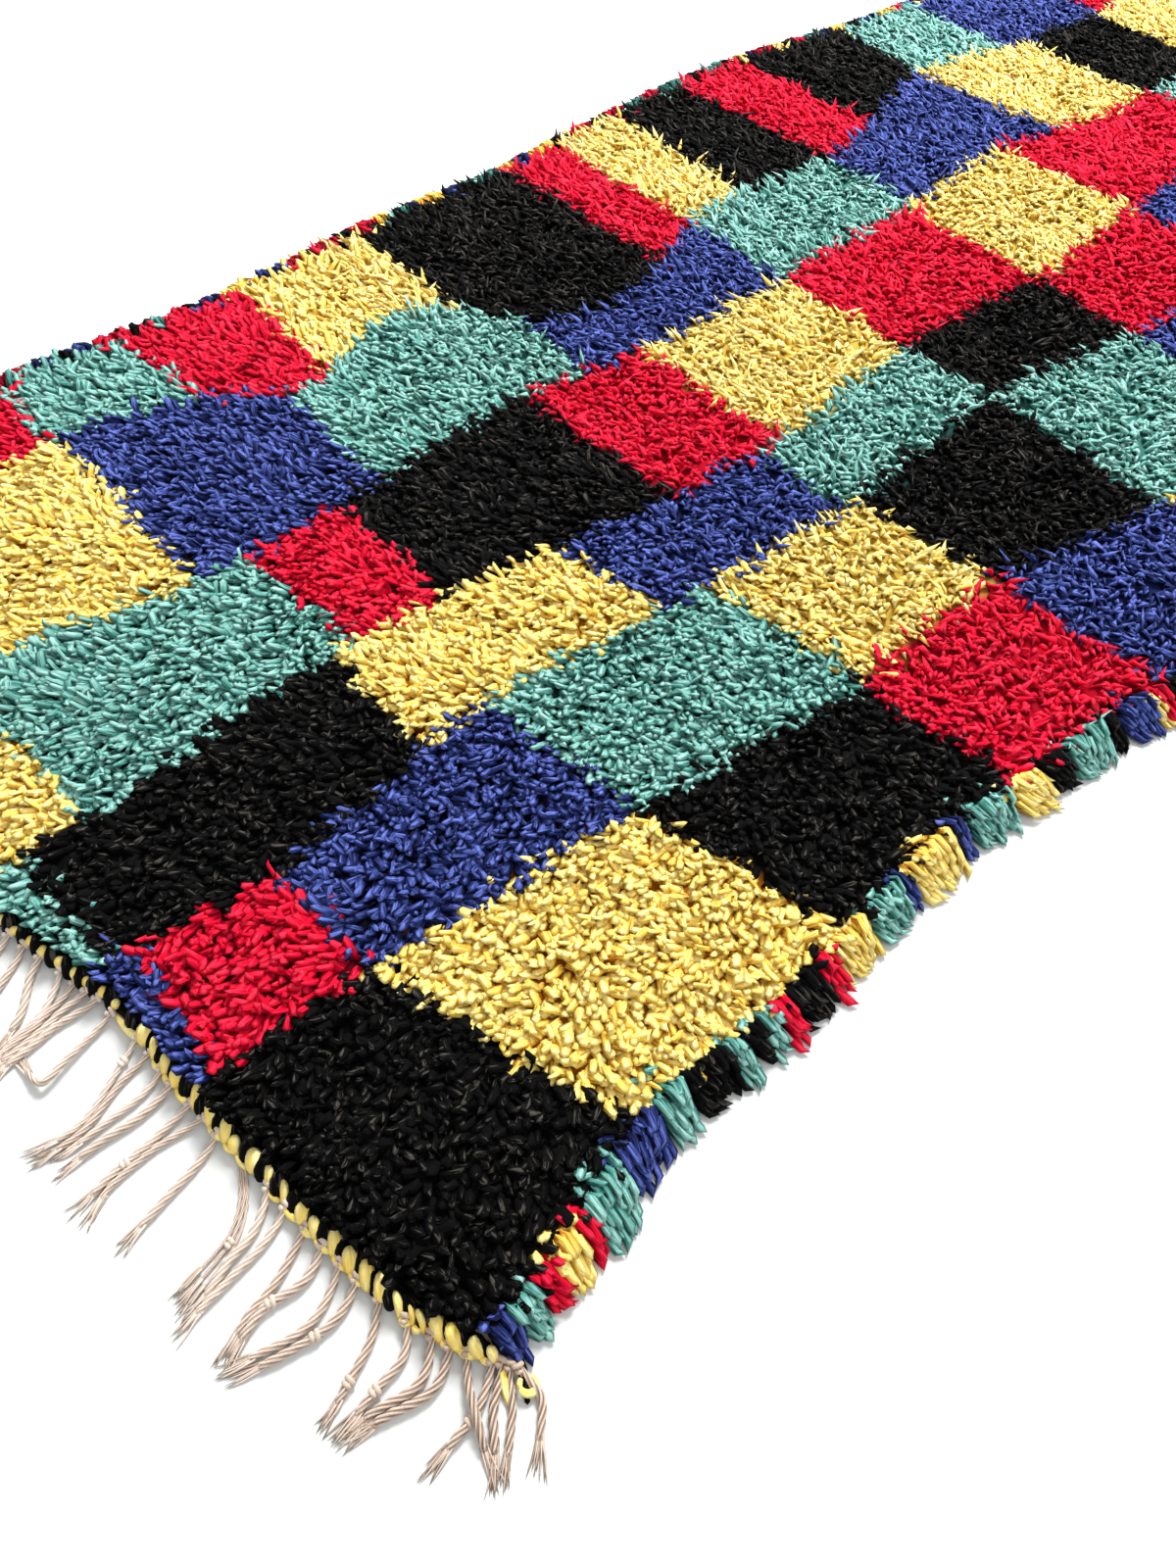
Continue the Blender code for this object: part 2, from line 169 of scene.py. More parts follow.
def mesh_piece(name, material, points, corners, sizes, uv=None, values=None):
    """A piece from arrays: points (n, 3), the faces' corners in one row, and each face's corner count.

    uv holds one pair for each corner, and values holds one number per point for each named attribute.
    """
    mesh = bpy.data.meshes.new(name)
    mesh.vertices.add(len(points))
    fill(mesh.vertices, "co", points)
    mesh.loops.add(len(corners))
    fill(mesh.loops, "vertex_index", corners, np.int32)
    mesh.polygons.add(len(sizes))
    fill(mesh.polygons, "loop_start", np.cumsum(sizes) - sizes, np.int32)
    fill(mesh.polygons, "use_smooth", np.ones(len(sizes)), bool)
    mesh.update(calc_edges=True)
    if uv is not None:
        fill(mesh.uv_layers.new(name="strand").data, "uv", uv)
    for key, value in (values or {}).items():
        fill(mesh.attributes.new(key, "FLOAT", "POINT").data, "value", value)
    mesh.materials.append(material)
    made = bpy.data.objects.new(name, mesh)
    bpy.context.collection.objects.link(made)
    return made


def settle(piece, replaced):
    """The piece rides on the rug's one body and stands for a CAD node, which is hidden."""
    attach(piece, "root")
    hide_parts(replaced)


def ground_material():
    """Undyed handspun cotton, plain woven: matt, with round warps and wefts that pass over and under."""
    made, tree = new_material("plain woven undyed cotton")
    place = node(tree, "TexCoord").outputs["Object"]
    wefts, warps = (
        node(
            tree, "TexWave", {"Scale": WAVE_BAND / spacing, "Distortion": 1.2, "Detail": 1.0},
            {"Vector": place}, bands_direction=way,
        ).outputs["Fac"]
        for spacing, way in ((WEFT_SPACING, "Y"), (WARP_SPACING, "X"))
    )
    woven = node(tree, "Math", links={0: wefts, 1: warps}, operation="ADD")
    slubs = node(tree, "TexNoise", {"Scale": 60.0, "Detail": 3.0}, {"Vector": place}).outputs["Fac"]
    shades = shade_ramp(tree, slubs, ((0.3, linear("B09B78")), (0.7, linear("D6C6A8"))))
    settings = {"Roughness": 0.92, "IOR": 1.5, "Sheen Weight": 0.15}
    end_material(tree, settings, shades, woven.outputs[0], 0.8, 0.0008)
    return made


def outline():
    """The ground's border, anticlockwise: r and s go round the unit square, and rug_plan places them."""
    n, m = WEAVE_CELLS
    r = np.concatenate([np.arange(n) / n, np.ones(m), 1 - np.arange(n) / n, np.zeros(m)])
    s = np.concatenate([np.zeros(n), np.arange(m) / m, np.ones(n), 1 - np.arange(m) / m])
    across, along = rug_plan(r, s, CORD_WIDE + WEAVE_END_GAP)
    return across + SELVEDGE_IN * (1 - 2 * r), along


edge_across, edge_along = outline()
low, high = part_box("ground_weave")
TO_FRAME = np.array([low[0] - edge_across.min(), low[1] - edge_along.min(), 0.0])


def ground_sheet():
    """A flat slab: the border at two heights, joined round by one wall."""
    n = len(edge_across)
    ring = np.stack([edge_across, edge_along, np.zeros(n)], 1) + TO_FRAME
    points = np.concatenate([ring, ring + [0, 0, WEAVE_THICK]])
    k = np.arange(n)
    wall = np.stack([k, (k + 1) % n, (k + 1) % n + n, k + n], 1)
    corners = np.concatenate([k[::-1], k + n, wall.ravel()])
    return mesh_piece("woven_ground", ground_material(), points, corners, [n, n] + [4] * n)


ground = ground_sheet()
for face in ground.data.polygons:
    face.use_smooth = False
settle(ground, "ground_weave")

# Pile
# Thick soft cotton strips, each knotted round two warps so that both ends stand up and lean over
# the row before. They are cut by hand to about 35 mm, and dyed in blocks of five plain colours.

TUFTS_ACROSS = 168
ROWS_NEAR = 140
ROWS_FAR = 250
NEAR_SHARE = 0.28
KNOT_JITTER = 0.26
PILE_END_GAP = 0.0025
PILE_SIDE_IN = 0.008
KNOT_HEIGHT = 0.0042
BED_CELLS = (52, 118)
# The pile lies closer away from the fringed end. The knots' height, the tufts' longest reach and the
# spread of their aims go from the first value to the second between these places along
CLOSER_FROM = (0.45, 0.95)
BED_HIGH = (0.0190, 0.0212)
TUFT_REACH = (1.0, 1.22)
AIM_SPREAD = (0.55, 0.85)
# The knots' colour, painted as shade between the tufts: a share of the dye's deepest shade at the near end
# and of its own colour at the far one
BED_PAINTED_SHADE = (0.55, 0.42)
BED_LUMP = 0.0012
BED_SHOULDER = 0.018
TUFT_START = 0.0120
TUFT_LONG = (0.022, 0.033)
TUFT_WIDE = 0.0088
TUFT_VARY = (0.75, 1.20)
TUFT_RING_VARY = (0.85, 1.15)
TUFT_TURN = 0.35
TUFT_BEND = (0.80, 1.36)
TUFT_CURL = 0.40
CLUMP_SPREAD = 0.35
LEAN_TO_END = 0.50
LEAN_ASIDE = 0.45
HELD_BACK = 0.55
HELD_WITHIN = 0.032
LEAN_OUT = 0.8
LEAN_OUT_WITHIN = 0.05
SWIRL = 0.42
SWIRL_PITCH = (0.37, 0.27)
TIP_REACH = 0.013
BORDER_STRAY = 0.003
GROOVE = 0.30
FIBRE = 0.0026
# Tufts near the fringed end are broader and drawn finer than the others, as (thickness by width,
# shares of the length, half widths at the rings, bend of each step as a share of the tuft's bend)
TUFT_SIDES = 3
TUFT_FORMS = {
    "near": (0.42, (0.0, 0.38, 0.88, 1.0), (1.00, 1.40, 1.10), (0.45, 1.10, 1.30)),
    "far": (0.62, (0.0, 0.52, 1.0), (0.86, 1.06), (0.56, 1.20)),
}
# The outermost tufts are dyed by the groups of the selvedge locks, in a band this wide
RIM_BAND = 0.016
LOCK_GROUP = (0.018, 0.055)
LOCK_REACH = (0.85, 1.15)
# The right selvedge's groups from the fringed end, as (dye, end along in mm, reach over the edge)
RIGHT_LOCKS = (
    ("blue", 69, 0.85), ("teal", 91, 0.9), ("red", 111, 0.85), ("yellow", 141, 1.0), ("red", 157, 1.05),
    ("teal", 200, 1.2), ("blue", 254, 1.0), ("teal", 282, 1.1), ("black", 328, 0.95), ("teal", 346, 1.05),
    ("black", 364, 0.9), ("teal", 382, 1.0), ("red", 400, 1.2), ("black", 442, 1.0), ("red", 460, 1.15),
    ("yellow", 512, 1.0), ("teal", 562, 0.95), ("blue", 576, 1.0), ("yellow", 648, 1.1),
    ("blue", 668, 0.9), ("teal", 724, 1.0), ("yellow", 774, 1.1), ("black", 812, 0.9), ("teal", 874, 1.0),
    ("black", 888, 0.9), ("blue", 934, 1.0), ("yellow", 946, 1.0), ("red", 962, 1.1),
)

# The lines between the six columns of blocks in millimetres, as (along, across)
COLUMN_LINES = (
    ((-100, 215), (480, 216), (560, 262), (830, 246), (870, 305), (1100, 346), (1230, 283), (1550, 280),
     (1710, 237), (1900, 180), (2170, 214), (2900, 205)),
    ((-100, 440), (90, 442), (300, 474), (510, 469), (770, 448), (930, 467), (1220, 470), (1540, 454),
     (1800, 430), (1940, 454), (2900, 444)),
    ((-100, 676), (60, 674), (370, 652), (630, 678), (790, 700), (950, 708), (1220, 681), (1510, 695),
     (1800, 674), (2900, 670)),
    ((-100, 800), (160, 834), (340, 807), (420, 802), (660, 825), (930, 840), (1240, 820), (1510, 864),
     (2900, 850)),
    ((-100, 955), (160, 965), (440, 994), (720, 1028), (950, 1026), (1220, 1080), (1600, 1060),
     (2900, 1050)),
)
# The blocks of each column from the fringed end, as (colour, and its end at the left and the right in mm)
COLUMNS = (
    (("red", 288, 291), ("teal", 451, 470), ("red", 633, 617), ("yellow", 842, 832),
     ("black", 1116, 1127), ("red", 1228, 1236), ("yellow", 1376, 1357), ("black", 1529, 1545),
     ("red", 1685, 1696), ("black", 1934, 1911), ("teal", 2130, 2120), ("blue", 2410, 2400),
     ("red", 2600, 2610), ("yellow", 3000, 3000)),
    (("yellow", 297, 300), ("blue", 550, 546), ("teal", 881, 875), ("blue", 1233, 1226),
     ("teal", 1545, 1543), ("blue", 1900, 1930), ("yellow", 2169, 2163), ("black", 2385, 2380),
     ("yellow", 2590, 2600), ("teal", 3000, 3000)),
    (("yellow", 49, 58), ("teal", 353, 378), ("red", 483, 484), ("black", 770, 791), ("red", 949, 961),
     ("yellow", 1229, 1228), ("red", 1530, 1509), ("yellow", 1795, 1804), ("red", 2180, 2190),
     ("teal", 2420, 2430), ("black", 2640, 2630), ("red", 3000, 3000)),
    (("teal", -7, 0), ("black", 345, 338), ("yellow", 621, 656), ("blue", 919, 925), ("teal", 1229, 1233),
     ("black", 1517, 1499), ("red", 1796, 1790), ("blue", 2100, 2090), ("black", 2350, 2360),
     ("yellow", 2600, 2590), ("blue", 3000, 3000)),
    (("blue", 24, 10), ("red", 155, 160), ("blue", 419, 440), ("teal", 709, 729), ("yellow", 945, 956),
     ("black", 1235, 1213), ("teal", 1500, 1490), ("blue", 1790, 1800), ("yellow", 2080, 2090),
     ("red", 2330, 2340), ("teal", 2570, 2580), ("black", 3000, 3000)),
    (("black", 158, 232), ("yellow", 444, 488), ("black", 729, 737), ("red", 954, 962),
     ("blue", 1225, 1220), ("yellow", 1520, 1510), ("red", 1800, 1790), ("black", 2100, 2110),
     ("blue", 2370, 2380), ("yellow", 2620, 2610), ("red", 3000, 3000)),
)
# Each dye's deepest shade, painted as shade between the tufts, its own colour, its painted highlight on the
# tips and fibres, and the own colour's place between the two, which is later where only the finest fibres get
# the painted highlight
DYES = {
    "black": ("000000", "030303", "4A4641", 0.86),
    "red": ("560016", "E80230", "F03652", 0.60),
    "yellow": ("B4680A", "FFDA5E", "FFF2AA", 0.48),
    "teal": ("0A2622", "50958A", "A8DAD0", 0.48),
    "blue": ("03051A", "222E68", "6878CC", 0.60),
}
DYE_NAMES = list(DYES)


def dye_at(root_across, root_along, stray=(0.0, 0.0)):
    """Index of the dye of a tuft from its root, by the place of its tip: the column by the lines that
    it has passed, and the block by its ends. In the band at a selvedge the root's group of locks counts.
    """
    lean = slow_lean(root_across, root_along) * TIP_REACH
    across, along = root_across + lean[..., 0] + stray[0], root_along + lean[..., 1] + stray[1]
    lines = [curve_through(line, along) for line in COLUMN_LINES]
    column = sum((across > line).astype(int) for line in lines)
    sides = [curve_through(LEFT_EDGE, along), *lines, curve_through(RIGHT_EDGE, along)]
    dye = np.zeros(across.shape, dtype=int)
    for k, blocks in enumerate(COLUMNS):
        share = (across - sides[k]) / (sides[k + 1] - sides[k])
        for name, *ends in blocks[::-1]:
            at_left, at_right = np.array(ends) / MM
            here = (column == k) & (along < at_left + (at_right - at_left) * share)
            dye[here] = DYE_NAMES.index(name)
    for edge, _, groups in SELVEDGES:
        rim = np.abs(curve_through(edge, root_along) - root_across + 2 * stray[0]) < RIM_BAND
        dye[rim] = groups["dye"][np.searchsorted(groups["end"], root_along[rim])]
    return dye


def lock_groups(seen, seed):
    """Dye, end along, reach and slide of each group of locks: the seen ones first, then random ones."""
    rng = np.random.default_rng(seed)
    rows = [(DYE_NAMES.index(name), end / MM, reach) for name, end, reach in seen]
    while not rows or rows[-1][1] < NOMINAL_LENGTH + 0.1:
        last, end, _ = rows[-1] if rows else (0, -0.1, 0)
        dye = (last + rng.integers(1, len(DYE_NAMES))) % len(DYE_NAMES)
        rows.append((dye, end + rng.uniform(*LOCK_GROUP), rng.uniform(*LOCK_REACH)))
    dye, end, reach = np.array(rows).T
    return {"dye": dye.astype(int), "end": end, "reach": reach, "slide": rng.normal(0, 0.005, len(rows))}


# Both selvedges, as (edge, way out, groups of locks)
SELVEDGES = ((RIGHT_EDGE, 1, lock_groups(RIGHT_LOCKS, 32)), (LEFT_EDGE, -1, lock_groups((), 48)))


def unit(vectors):
    """Vectors along the last axis, each divided by its length."""
    return vectors / np.linalg.norm(vectors, axis=-1, keepdims=True)


def strands(line, girths, roll, sides, twist=0.0, plied=False):
    """Closed strands: a ring of points round every centre, square to the strand, and one point at the tip.

    line (n, k + 1, 3) as the centres and then the tip, girths (n, k, 2) as the two half widths, roll
    (n, 3) as the way that the first half width faces, and twist as the turn of each ring. On a plied
    strand every other point of a ring lies in a groove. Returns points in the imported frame, corners,
    face sizes, and uv as metres round and along.
    """
    line = line + TO_FRAME
    centres, tips = line[:, :-1], line[:, -1]
    n, k = centres.shape[:2]
    steps = np.diff(line, axis=1)
    ways = steps.copy()
    ways[:, 1:] += steps[:, :-1]
    ways = unit(ways)
    wide = unit(roll[:, None] - (roll[:, None] * ways).sum(-1, keepdims=True) * ways)
    flat = np.cross(ways, wide)
    corner = np.arange(sides)
    turn = (corner * 2 * np.pi / sides + np.zeros((n, k, 1)) + np.asarray(twist)[..., None])[..., None]
    deep = np.where(corner % 2 == 1, 1 - GROOVE, 1.0)[:, None] if plied else 1.0
    ring = (
        centres[:, :, None]
        + girths[:, :, None, :1] * deep * np.cos(turn) * wide[:, :, None]
        + girths[:, :, None, 1:] * deep * np.sin(turn) * flat[:, :, None]
    )
    points = np.concatenate([ring.reshape(n, k * sides, 3), tips[:, None]], 1)
    # Corners of one strand: the root, the walls ring by ring, and the tip
    a = np.arange(sides)
    b = (a + 1) % sides
    walls = np.concatenate([np.stack([a, b, b + sides, a + sides], 1) + j * sides for j in range(k - 1)])
    top = (k - 1) * sides
    cap = np.stack([a + top, b + top, np.full(sides, k * sides)], 1)
    one = np.concatenate([a[::-1], walls.ravel(), cap.ravel()])
    sizes = [sides] + [4] * len(walls) + [3] * sides
    corners = (one[None] + (np.arange(n) * (k * sides + 1))[:, None]).ravel()
    # Round and along for every corner, in metres
    around = np.linalg.norm(girths, axis=-1).max(1) * np.pi * np.sqrt(2)
    reach = np.concatenate([np.zeros((n, 1)), np.cumsum(np.linalg.norm(steps, axis=-1), 1)], 1)
    wall_levels = np.repeat([[j, j, j + 1, j + 1] for j in range(k - 1)], sides, 0)
    cap_levels = np.repeat([[k - 1, k - 1, k]], sides, 0)
    level = np.concatenate([np.zeros(sides, int), wall_levels.ravel(), cap_levels.ravel()])
    wall_spins = np.tile(np.stack([a, a + 1, a + 1, a], 1), (k - 1, 1))
    cap_spins = np.stack([a, a + 1, a + 0.5], 1)
    spin = np.concatenate([a[::-1], wall_spins.ravel(), cap_spins.ravel()]) / sides
    uv = np.stack([around[:, None] * spin, reach[:, level]], -1)
    return points.reshape(-1, 3), corners, sizes * n, uv.reshape(-1, 2)


def fed(tree, name):
    """The value that a mesh attribute of this name feeds to a material."""
    return node(tree, "Attribute", attribute_name=name).outputs["Fac"]


def fibre_noise(tree, place, roughness):
    """Fine noise at a place that is given in fibres."""
    settings = {"Scale": 1.0, "Detail": 3.0, "Roughness": roughness}
    return node(tree, "TexNoise", settings, {"Vector": place}).outputs["Fac"]


def times_plus(tree, source, times, plus):
    """A source times a number, plus a number or another source."""
    settings, links = {1: times}, {0: source}
    (settings if isinstance(plus, float) else links)[2] = plus
    return node(tree, "Math", settings, links, operation="MULTIPLY_ADD").outputs[0]


def tuft_material(dye):
    """Dyed cotton strip: matt, with painted shade down between the tufts, painted highlights on the tips and
    fibres, and fine crinkled fibres.
    """
    *shades_of_dye, own_at = DYES[dye]
    deep, own, painted_highlight = (linear(shade) for shade in shades_of_dye)
    made, tree = new_material(f"{dye} dyed cotton tufts")
    strand = node(tree, "UVMap", uv_map="strand").outputs["UV"]
    tone = fed(tree, "tone")
    fibres_at = node(tree, "Mapping", {"Scale": (1 / FIBRE, 0.16 / FIBRE, 1.0)}, {"Vector": strand})
    apart = node(tree, "CombineXYZ", links={"X": tone, "Y": tone, "Z": tone})
    shifted = node(
        tree, "VectorMath", {1: (1.0, 1.0, 40.0)}, {0: apart.outputs[0], 2: fibres_at.outputs[0]},
        operation="MULTIPLY_ADD",
    )
    fibres = fibre_noise(tree, shifted.outputs[0], 0.65)
    # Painted light: lighter towards the tip and the top corner, painted shade towards the root and at the
    # edges, a tone that differs at random from tuft to tuft, and painted shade in the creases with painted
    # glints on the fibres
    lift = times_plus(tree, fed(tree, "share"), 0.80, -0.88)
    shade = times_plus(tree, fibres, 1.65, times_plus(tree, tone, 0.30, lift))
    # The ramp runs from the painted shade, through the dye's own colour, to the painted highlight
    shades = shade_ramp(tree, shade, ((0.08, deep), (own_at, own), (1.0, painted_highlight)))
    settings = {"Roughness": 0.8, "IOR": 1.5, "Specular IOR Level": 0.1}
    end_material(tree, settings, shades, fibres, 1.0, 0.0024)
    return made


DYED = {dye: tuft_material(dye) for dye in DYES}


def dyed_piece(name, dye, parts, tone, share, replaced):
    """Strands of one dye as one piece, with a tone for each and the shares of a strand's points, which set
    its painted shade and highlight.
    """
    values = {"tone": np.repeat(tone, len(share)), "share": np.tile(share, len(tone))}
    settle(mesh_piece(name, DYED[dye], *parts, values), replaced)


def smooth_noise(across, along, pitch, turn):
    """Slow swells: two crossed waves of that pitch, each bent by the other."""
    u, v = across / pitch[0] * 2 * np.pi, along / pitch[1] * 2 * np.pi
    return np.sin(u + 1.7 * np.cos(0.6 * v + turn) + turn) * np.cos(v + 1.3 * np.sin(0.8 * u))


def fade(distance, within):
    """1 at no distance, falling off smoothly to nearly nothing at twice the given one."""
    return np.exp(-((distance / within) ** 2))


def slow_lean(across, along):
    """Plan vector that the tufts lean by: to the fringed end, out at a selvedge, and in slow swirls."""
    to_right = LEAN_OUT * fade(curve_through(RIGHT_EDGE, along) - across, LEAN_OUT_WITHIN)
    to_left = LEAN_OUT * fade(across - curve_through(LEFT_EDGE, along), LEAN_OUT_WITHIN)
    aside = LEAN_ASIDE * (2 * across / NOMINAL_WIDTH - 1)
    return np.stack([
        SWIRL * smooth_noise(across, along, SWIRL_PITCH, 0.3) + aside + to_right - to_left,
        SWIRL * smooth_noise(along, across, SWIRL_PITCH, 2.1) - LEAN_TO_END,
    ], -1)


def pile_knots():
    """Every tuft's root on a jittered grid, its aim in plan, bend, curl, length, dye and tone.

    The aim is the slow lean's angle, with a random turn for each four knots and for each tuft.
    """
    rng = np.random.default_rng(21)
    rows = ROWS_NEAR + ROWS_FAR
    shape = (TUFTS_ACROSS, rows)
    column, row = np.indices(shape) + 0.5 + rng.uniform(-KNOT_JITTER, KNOT_JITTER, (2, *shape))
    r = column / TUFTS_ACROSS
    s = np.interp(row, (0, ROWS_NEAR, rows), (0, NEAR_SHARE, 1))
    across, along = rug_plan(r, s, CORD_WIDE + PILE_END_GAP)
    across = across + PILE_SIDE_IN * (1 - 2 * r)
    clump = rng.normal(0, CLUMP_SPREAD, (shape[0] // 2, shape[1] // 2)).repeat(2, 0).repeat(2, 1).ravel()
    across, along = across.ravel(), along.ravel()
    lean = slow_lean(across, along)
    aim = np.arctan2(lean[:, 1], lean[:, 0]) + clump
    spread, reach = (np.interp(along, CLOSER_FROM, ends) for ends in (AIM_SPREAD, TUFT_REACH))
    n = len(across)
    # The tufts next to the near cord stand up over it
    held = HELD_BACK * fade(along - curve_through(NEAR_EDGE, across), HELD_WITHIN)
    return {
        "root": np.stack([across, along, np.full(n, TUFT_START)], -1),
        "aim": aim + rng.normal(0, 1, n) * spread,
        "bend": rng.uniform(*TUFT_BEND, n) * (1 - held),
        "curl": rng.normal(0, TUFT_CURL, n),
        "long": rng.uniform(*TUFT_LONG, n) * (1 - held / 2) * reach,
        "dye": dye_at(across, along, rng.normal(0, BORDER_STRAY, (2, n))),
        "tone": rng.uniform(0, 1, n),
        "near": (row < ROWS_NEAR).ravel(),
    }


def ring_widths(rng, n, wide, rings, vary, ring_vary):
    """Half widths of n strips at their rings, each strip by a random share of its own, and each ring."""
    own = rng.uniform(*vary, (n, 1))
    return wide / 2 * own * np.array(rings) * rng.uniform(*ring_vary, (n, len(rings)))


def tuft_lines(knots, form, seed):
    """Centres, half widths and roll of tufts: each step bends further over and turns by the curl."""
    rng = np.random.default_rng(seed)
    flatness, shares, widths, bends = form
    n = len(knots["aim"])
    line = [knots["root"]]
    for k, bend in enumerate(bends):
        over = knots["bend"] * bend
        aim = knots["aim"] + knots["curl"] * k
        way = np.stack([np.sin(over) * np.cos(aim), np.sin(over) * np.sin(aim), np.cos(over)], -1)
        line.append(line[-1] + way * (knots["long"] * (shares[k + 1] - shares[k]))[:, None])
    girth = ring_widths(rng, n, TUFT_WIDE, widths, TUFT_VARY, TUFT_RING_VARY)
    girths = np.stack([girth, girth * flatness * rng.uniform(0.8, 1.25, (n, 1))], -1)
    face = knots["aim"] + np.pi / 2 + rng.normal(0, TUFT_TURN, n)
    roll = np.stack([np.cos(face), np.sin(face), np.zeros(n)], 1)
    return np.stack(line, 1), girths, roll


def knot_bed():
    """The knots and lower ends of the tufts as one low lumpy slab: a grid of heights over a flat ring.

    The height falls to the ground over a shoulder at every edge, as the root of the distance.
    """
    rng = np.random.default_rng(4)
    n, m = BED_CELLS
    r = np.linspace(0, 1, n + 1)[:, None] + np.zeros((1, m + 1))
    s = np.linspace(0, 1, m + 1)[None] + np.zeros((n + 1, 1))
    across, along = rug_plan(r, s, CORD_WIDE + PILE_END_GAP)
    across = across + 2 * SELVEDGE_IN * (1 - 2 * r)
    inwards = np.minimum(np.minimum(r, 1 - r) * NOMINAL_WIDTH, np.minimum(s, 1 - s) * 2 * NOMINAL_WIDTH)
    rise = np.sqrt(np.clip(inwards / BED_SHOULDER, 0.1, 1))
    full = np.interp(along, CLOSER_FROM, BED_HIGH) + BED_LUMP * rng.uniform(-1, 1, across.shape)
    high = KNOT_HEIGHT + (full - KNOT_HEIGHT) * rise
    top = np.stack([across, along, high], -1).reshape(-1, 3) + TO_FRAME
    at = np.arange((n + 1) * (m + 1)).reshape(n + 1, m + 1)
    ring = np.concatenate([at[:-1, 0], at[-1, :-1], at[:0:-1, -1], at[0, :0:-1]])
    under = top[ring]
    under[:, 2] = KNOT_HEIGHT
    lower = np.arange(len(ring)) + len(top)
    grid = np.stack([at[:-1, :-1], at[1:, :-1], at[1:, 1:], at[:-1, 1:]], -1).reshape(-1, 4)
    wall = np.stack([lower, np.roll(lower, -1), np.roll(ring, -1), ring], -1)
    corners = np.concatenate([grid.ravel(), wall.ravel(), lower[::-1]])
    sizes = [4] * (len(grid) + len(wall)) + [len(ring)]
    made, tree = new_material("dyed cotton knots")
    # The knots' colour is painted shade: each dye darkened as it shows down between the tufts
    painted_shade_of_knot = node(tree, "Attribute", attribute_name="dye").outputs["Color"]
    end_material(tree, {"Roughness": 0.95, "Specular IOR Level": 0.1}, painted_shade_of_knot)
    piece = mesh_piece("knot_bed", made, np.concatenate([top, under]), corners, sizes)
    # Painted shade: the dye's deepest shade darkened near the fringed end, its own colour darkened away from
    # it
    deep, own = (np.array([linear(DYES[name][k]) for name in DYE_NAMES]) * BED_PAINTED_SHADE[k] for k in (0, 1))
    dye = dye_at(across, along).ravel()
    far = np.interp(along, CLOSER_FROM, (0, 1)).reshape(-1, 1)
    colours = deep[dye] * (1 - far) + own[dye] * far
    colours = np.concatenate([colours, colours[ring]])
    colours[:, 3] = 1
    fill(piece.data.attributes.new("dye", "FLOAT_COLOR", "POINT").data, "color", colours)
    settle(piece, "pile")


knot_bed()


def show_tufts(name, line, girths, roll, tone, dye):
    """Tufts of one dye, one corner of each ring on top. Share sets the painted light: it grows to the tip,
    and is less at both edges, as painted shade.
    """
    sides = TUFT_SIDES
    first = np.pi / 2 - 2 * np.pi / sides
    rings = line.shape[1] - 1
    # Painted light on the top corner, painted shade at both edges and towards the root
    top = 0.62 + 0.38 * np.sin(first + np.arange(sides) * 2 * np.pi / sides)
    share = np.append(np.outer((np.arange(rings) + 0.3) / (rings - 0.7), top), 0.85)
    parts = strands(line, girths, roll, sides, first)
    dyed_piece(name, dye, parts, tone, share, "pile")


knots = pile_knots()
for zone, far in (("near", False), ("far", True)):
    for k, name in enumerate(DYE_NAMES):
        mine = (knots["dye"] == k) & (knots["near"] != far)
        own = {key: value[mine] for key, value in knots.items()}
        show_tufts(f"{name}_tufts_{zone}", *tuft_lines(own, TUFT_FORMS[zone], 60 + k), own["tone"], name)

# Selvedge locks
# Longer cotton strips of all five dyes, looped round the outer warps of both selvedges in small
# groups. They fall over the edge like feathers, and the lowest lie with their tips on the floor.

LOCK_PITCH = 0.0064
LOCK_WIDE = 0.0092
# Each layer's stations from the selvedge outwards, as (out, height) in millimetres
LOCK_LAYERS = (
    ((-15, 16.0), (-3, 28.5), (9.0, 24.5), (12.5, 21.5)),
    ((-8, 12.0), (4, 23.0), (17.0, 16.5), (20.5, 12.5)),
    ((-3, 7.0), (9, 15.5), (22.5, 8.5), (26.5, 5.5)),
    ((-1, 4.5), (10, 8.5), (26.0, 4.5), (30.5, 3.4)),
)
LOCK_GIRTHS = (0.85, 1.10, 0.92)
LOCK_FLATNESS = 0.60
LOCK_WANDER = 0.0024
LOCK_GATHER = 0.40
# How a lock differs from the next, as shares of its pitch, reach, width, each ring's width and height
LOCK_JITTER = 0.3
LOCK_REACH_VARY = (0.85, 1.20)
LOCK_VARY = (0.80, 1.20)
LOCK_RING_VARY = (0.90, 1.10)
LOCK_HIGH_VARY = (0.88, 1.12)


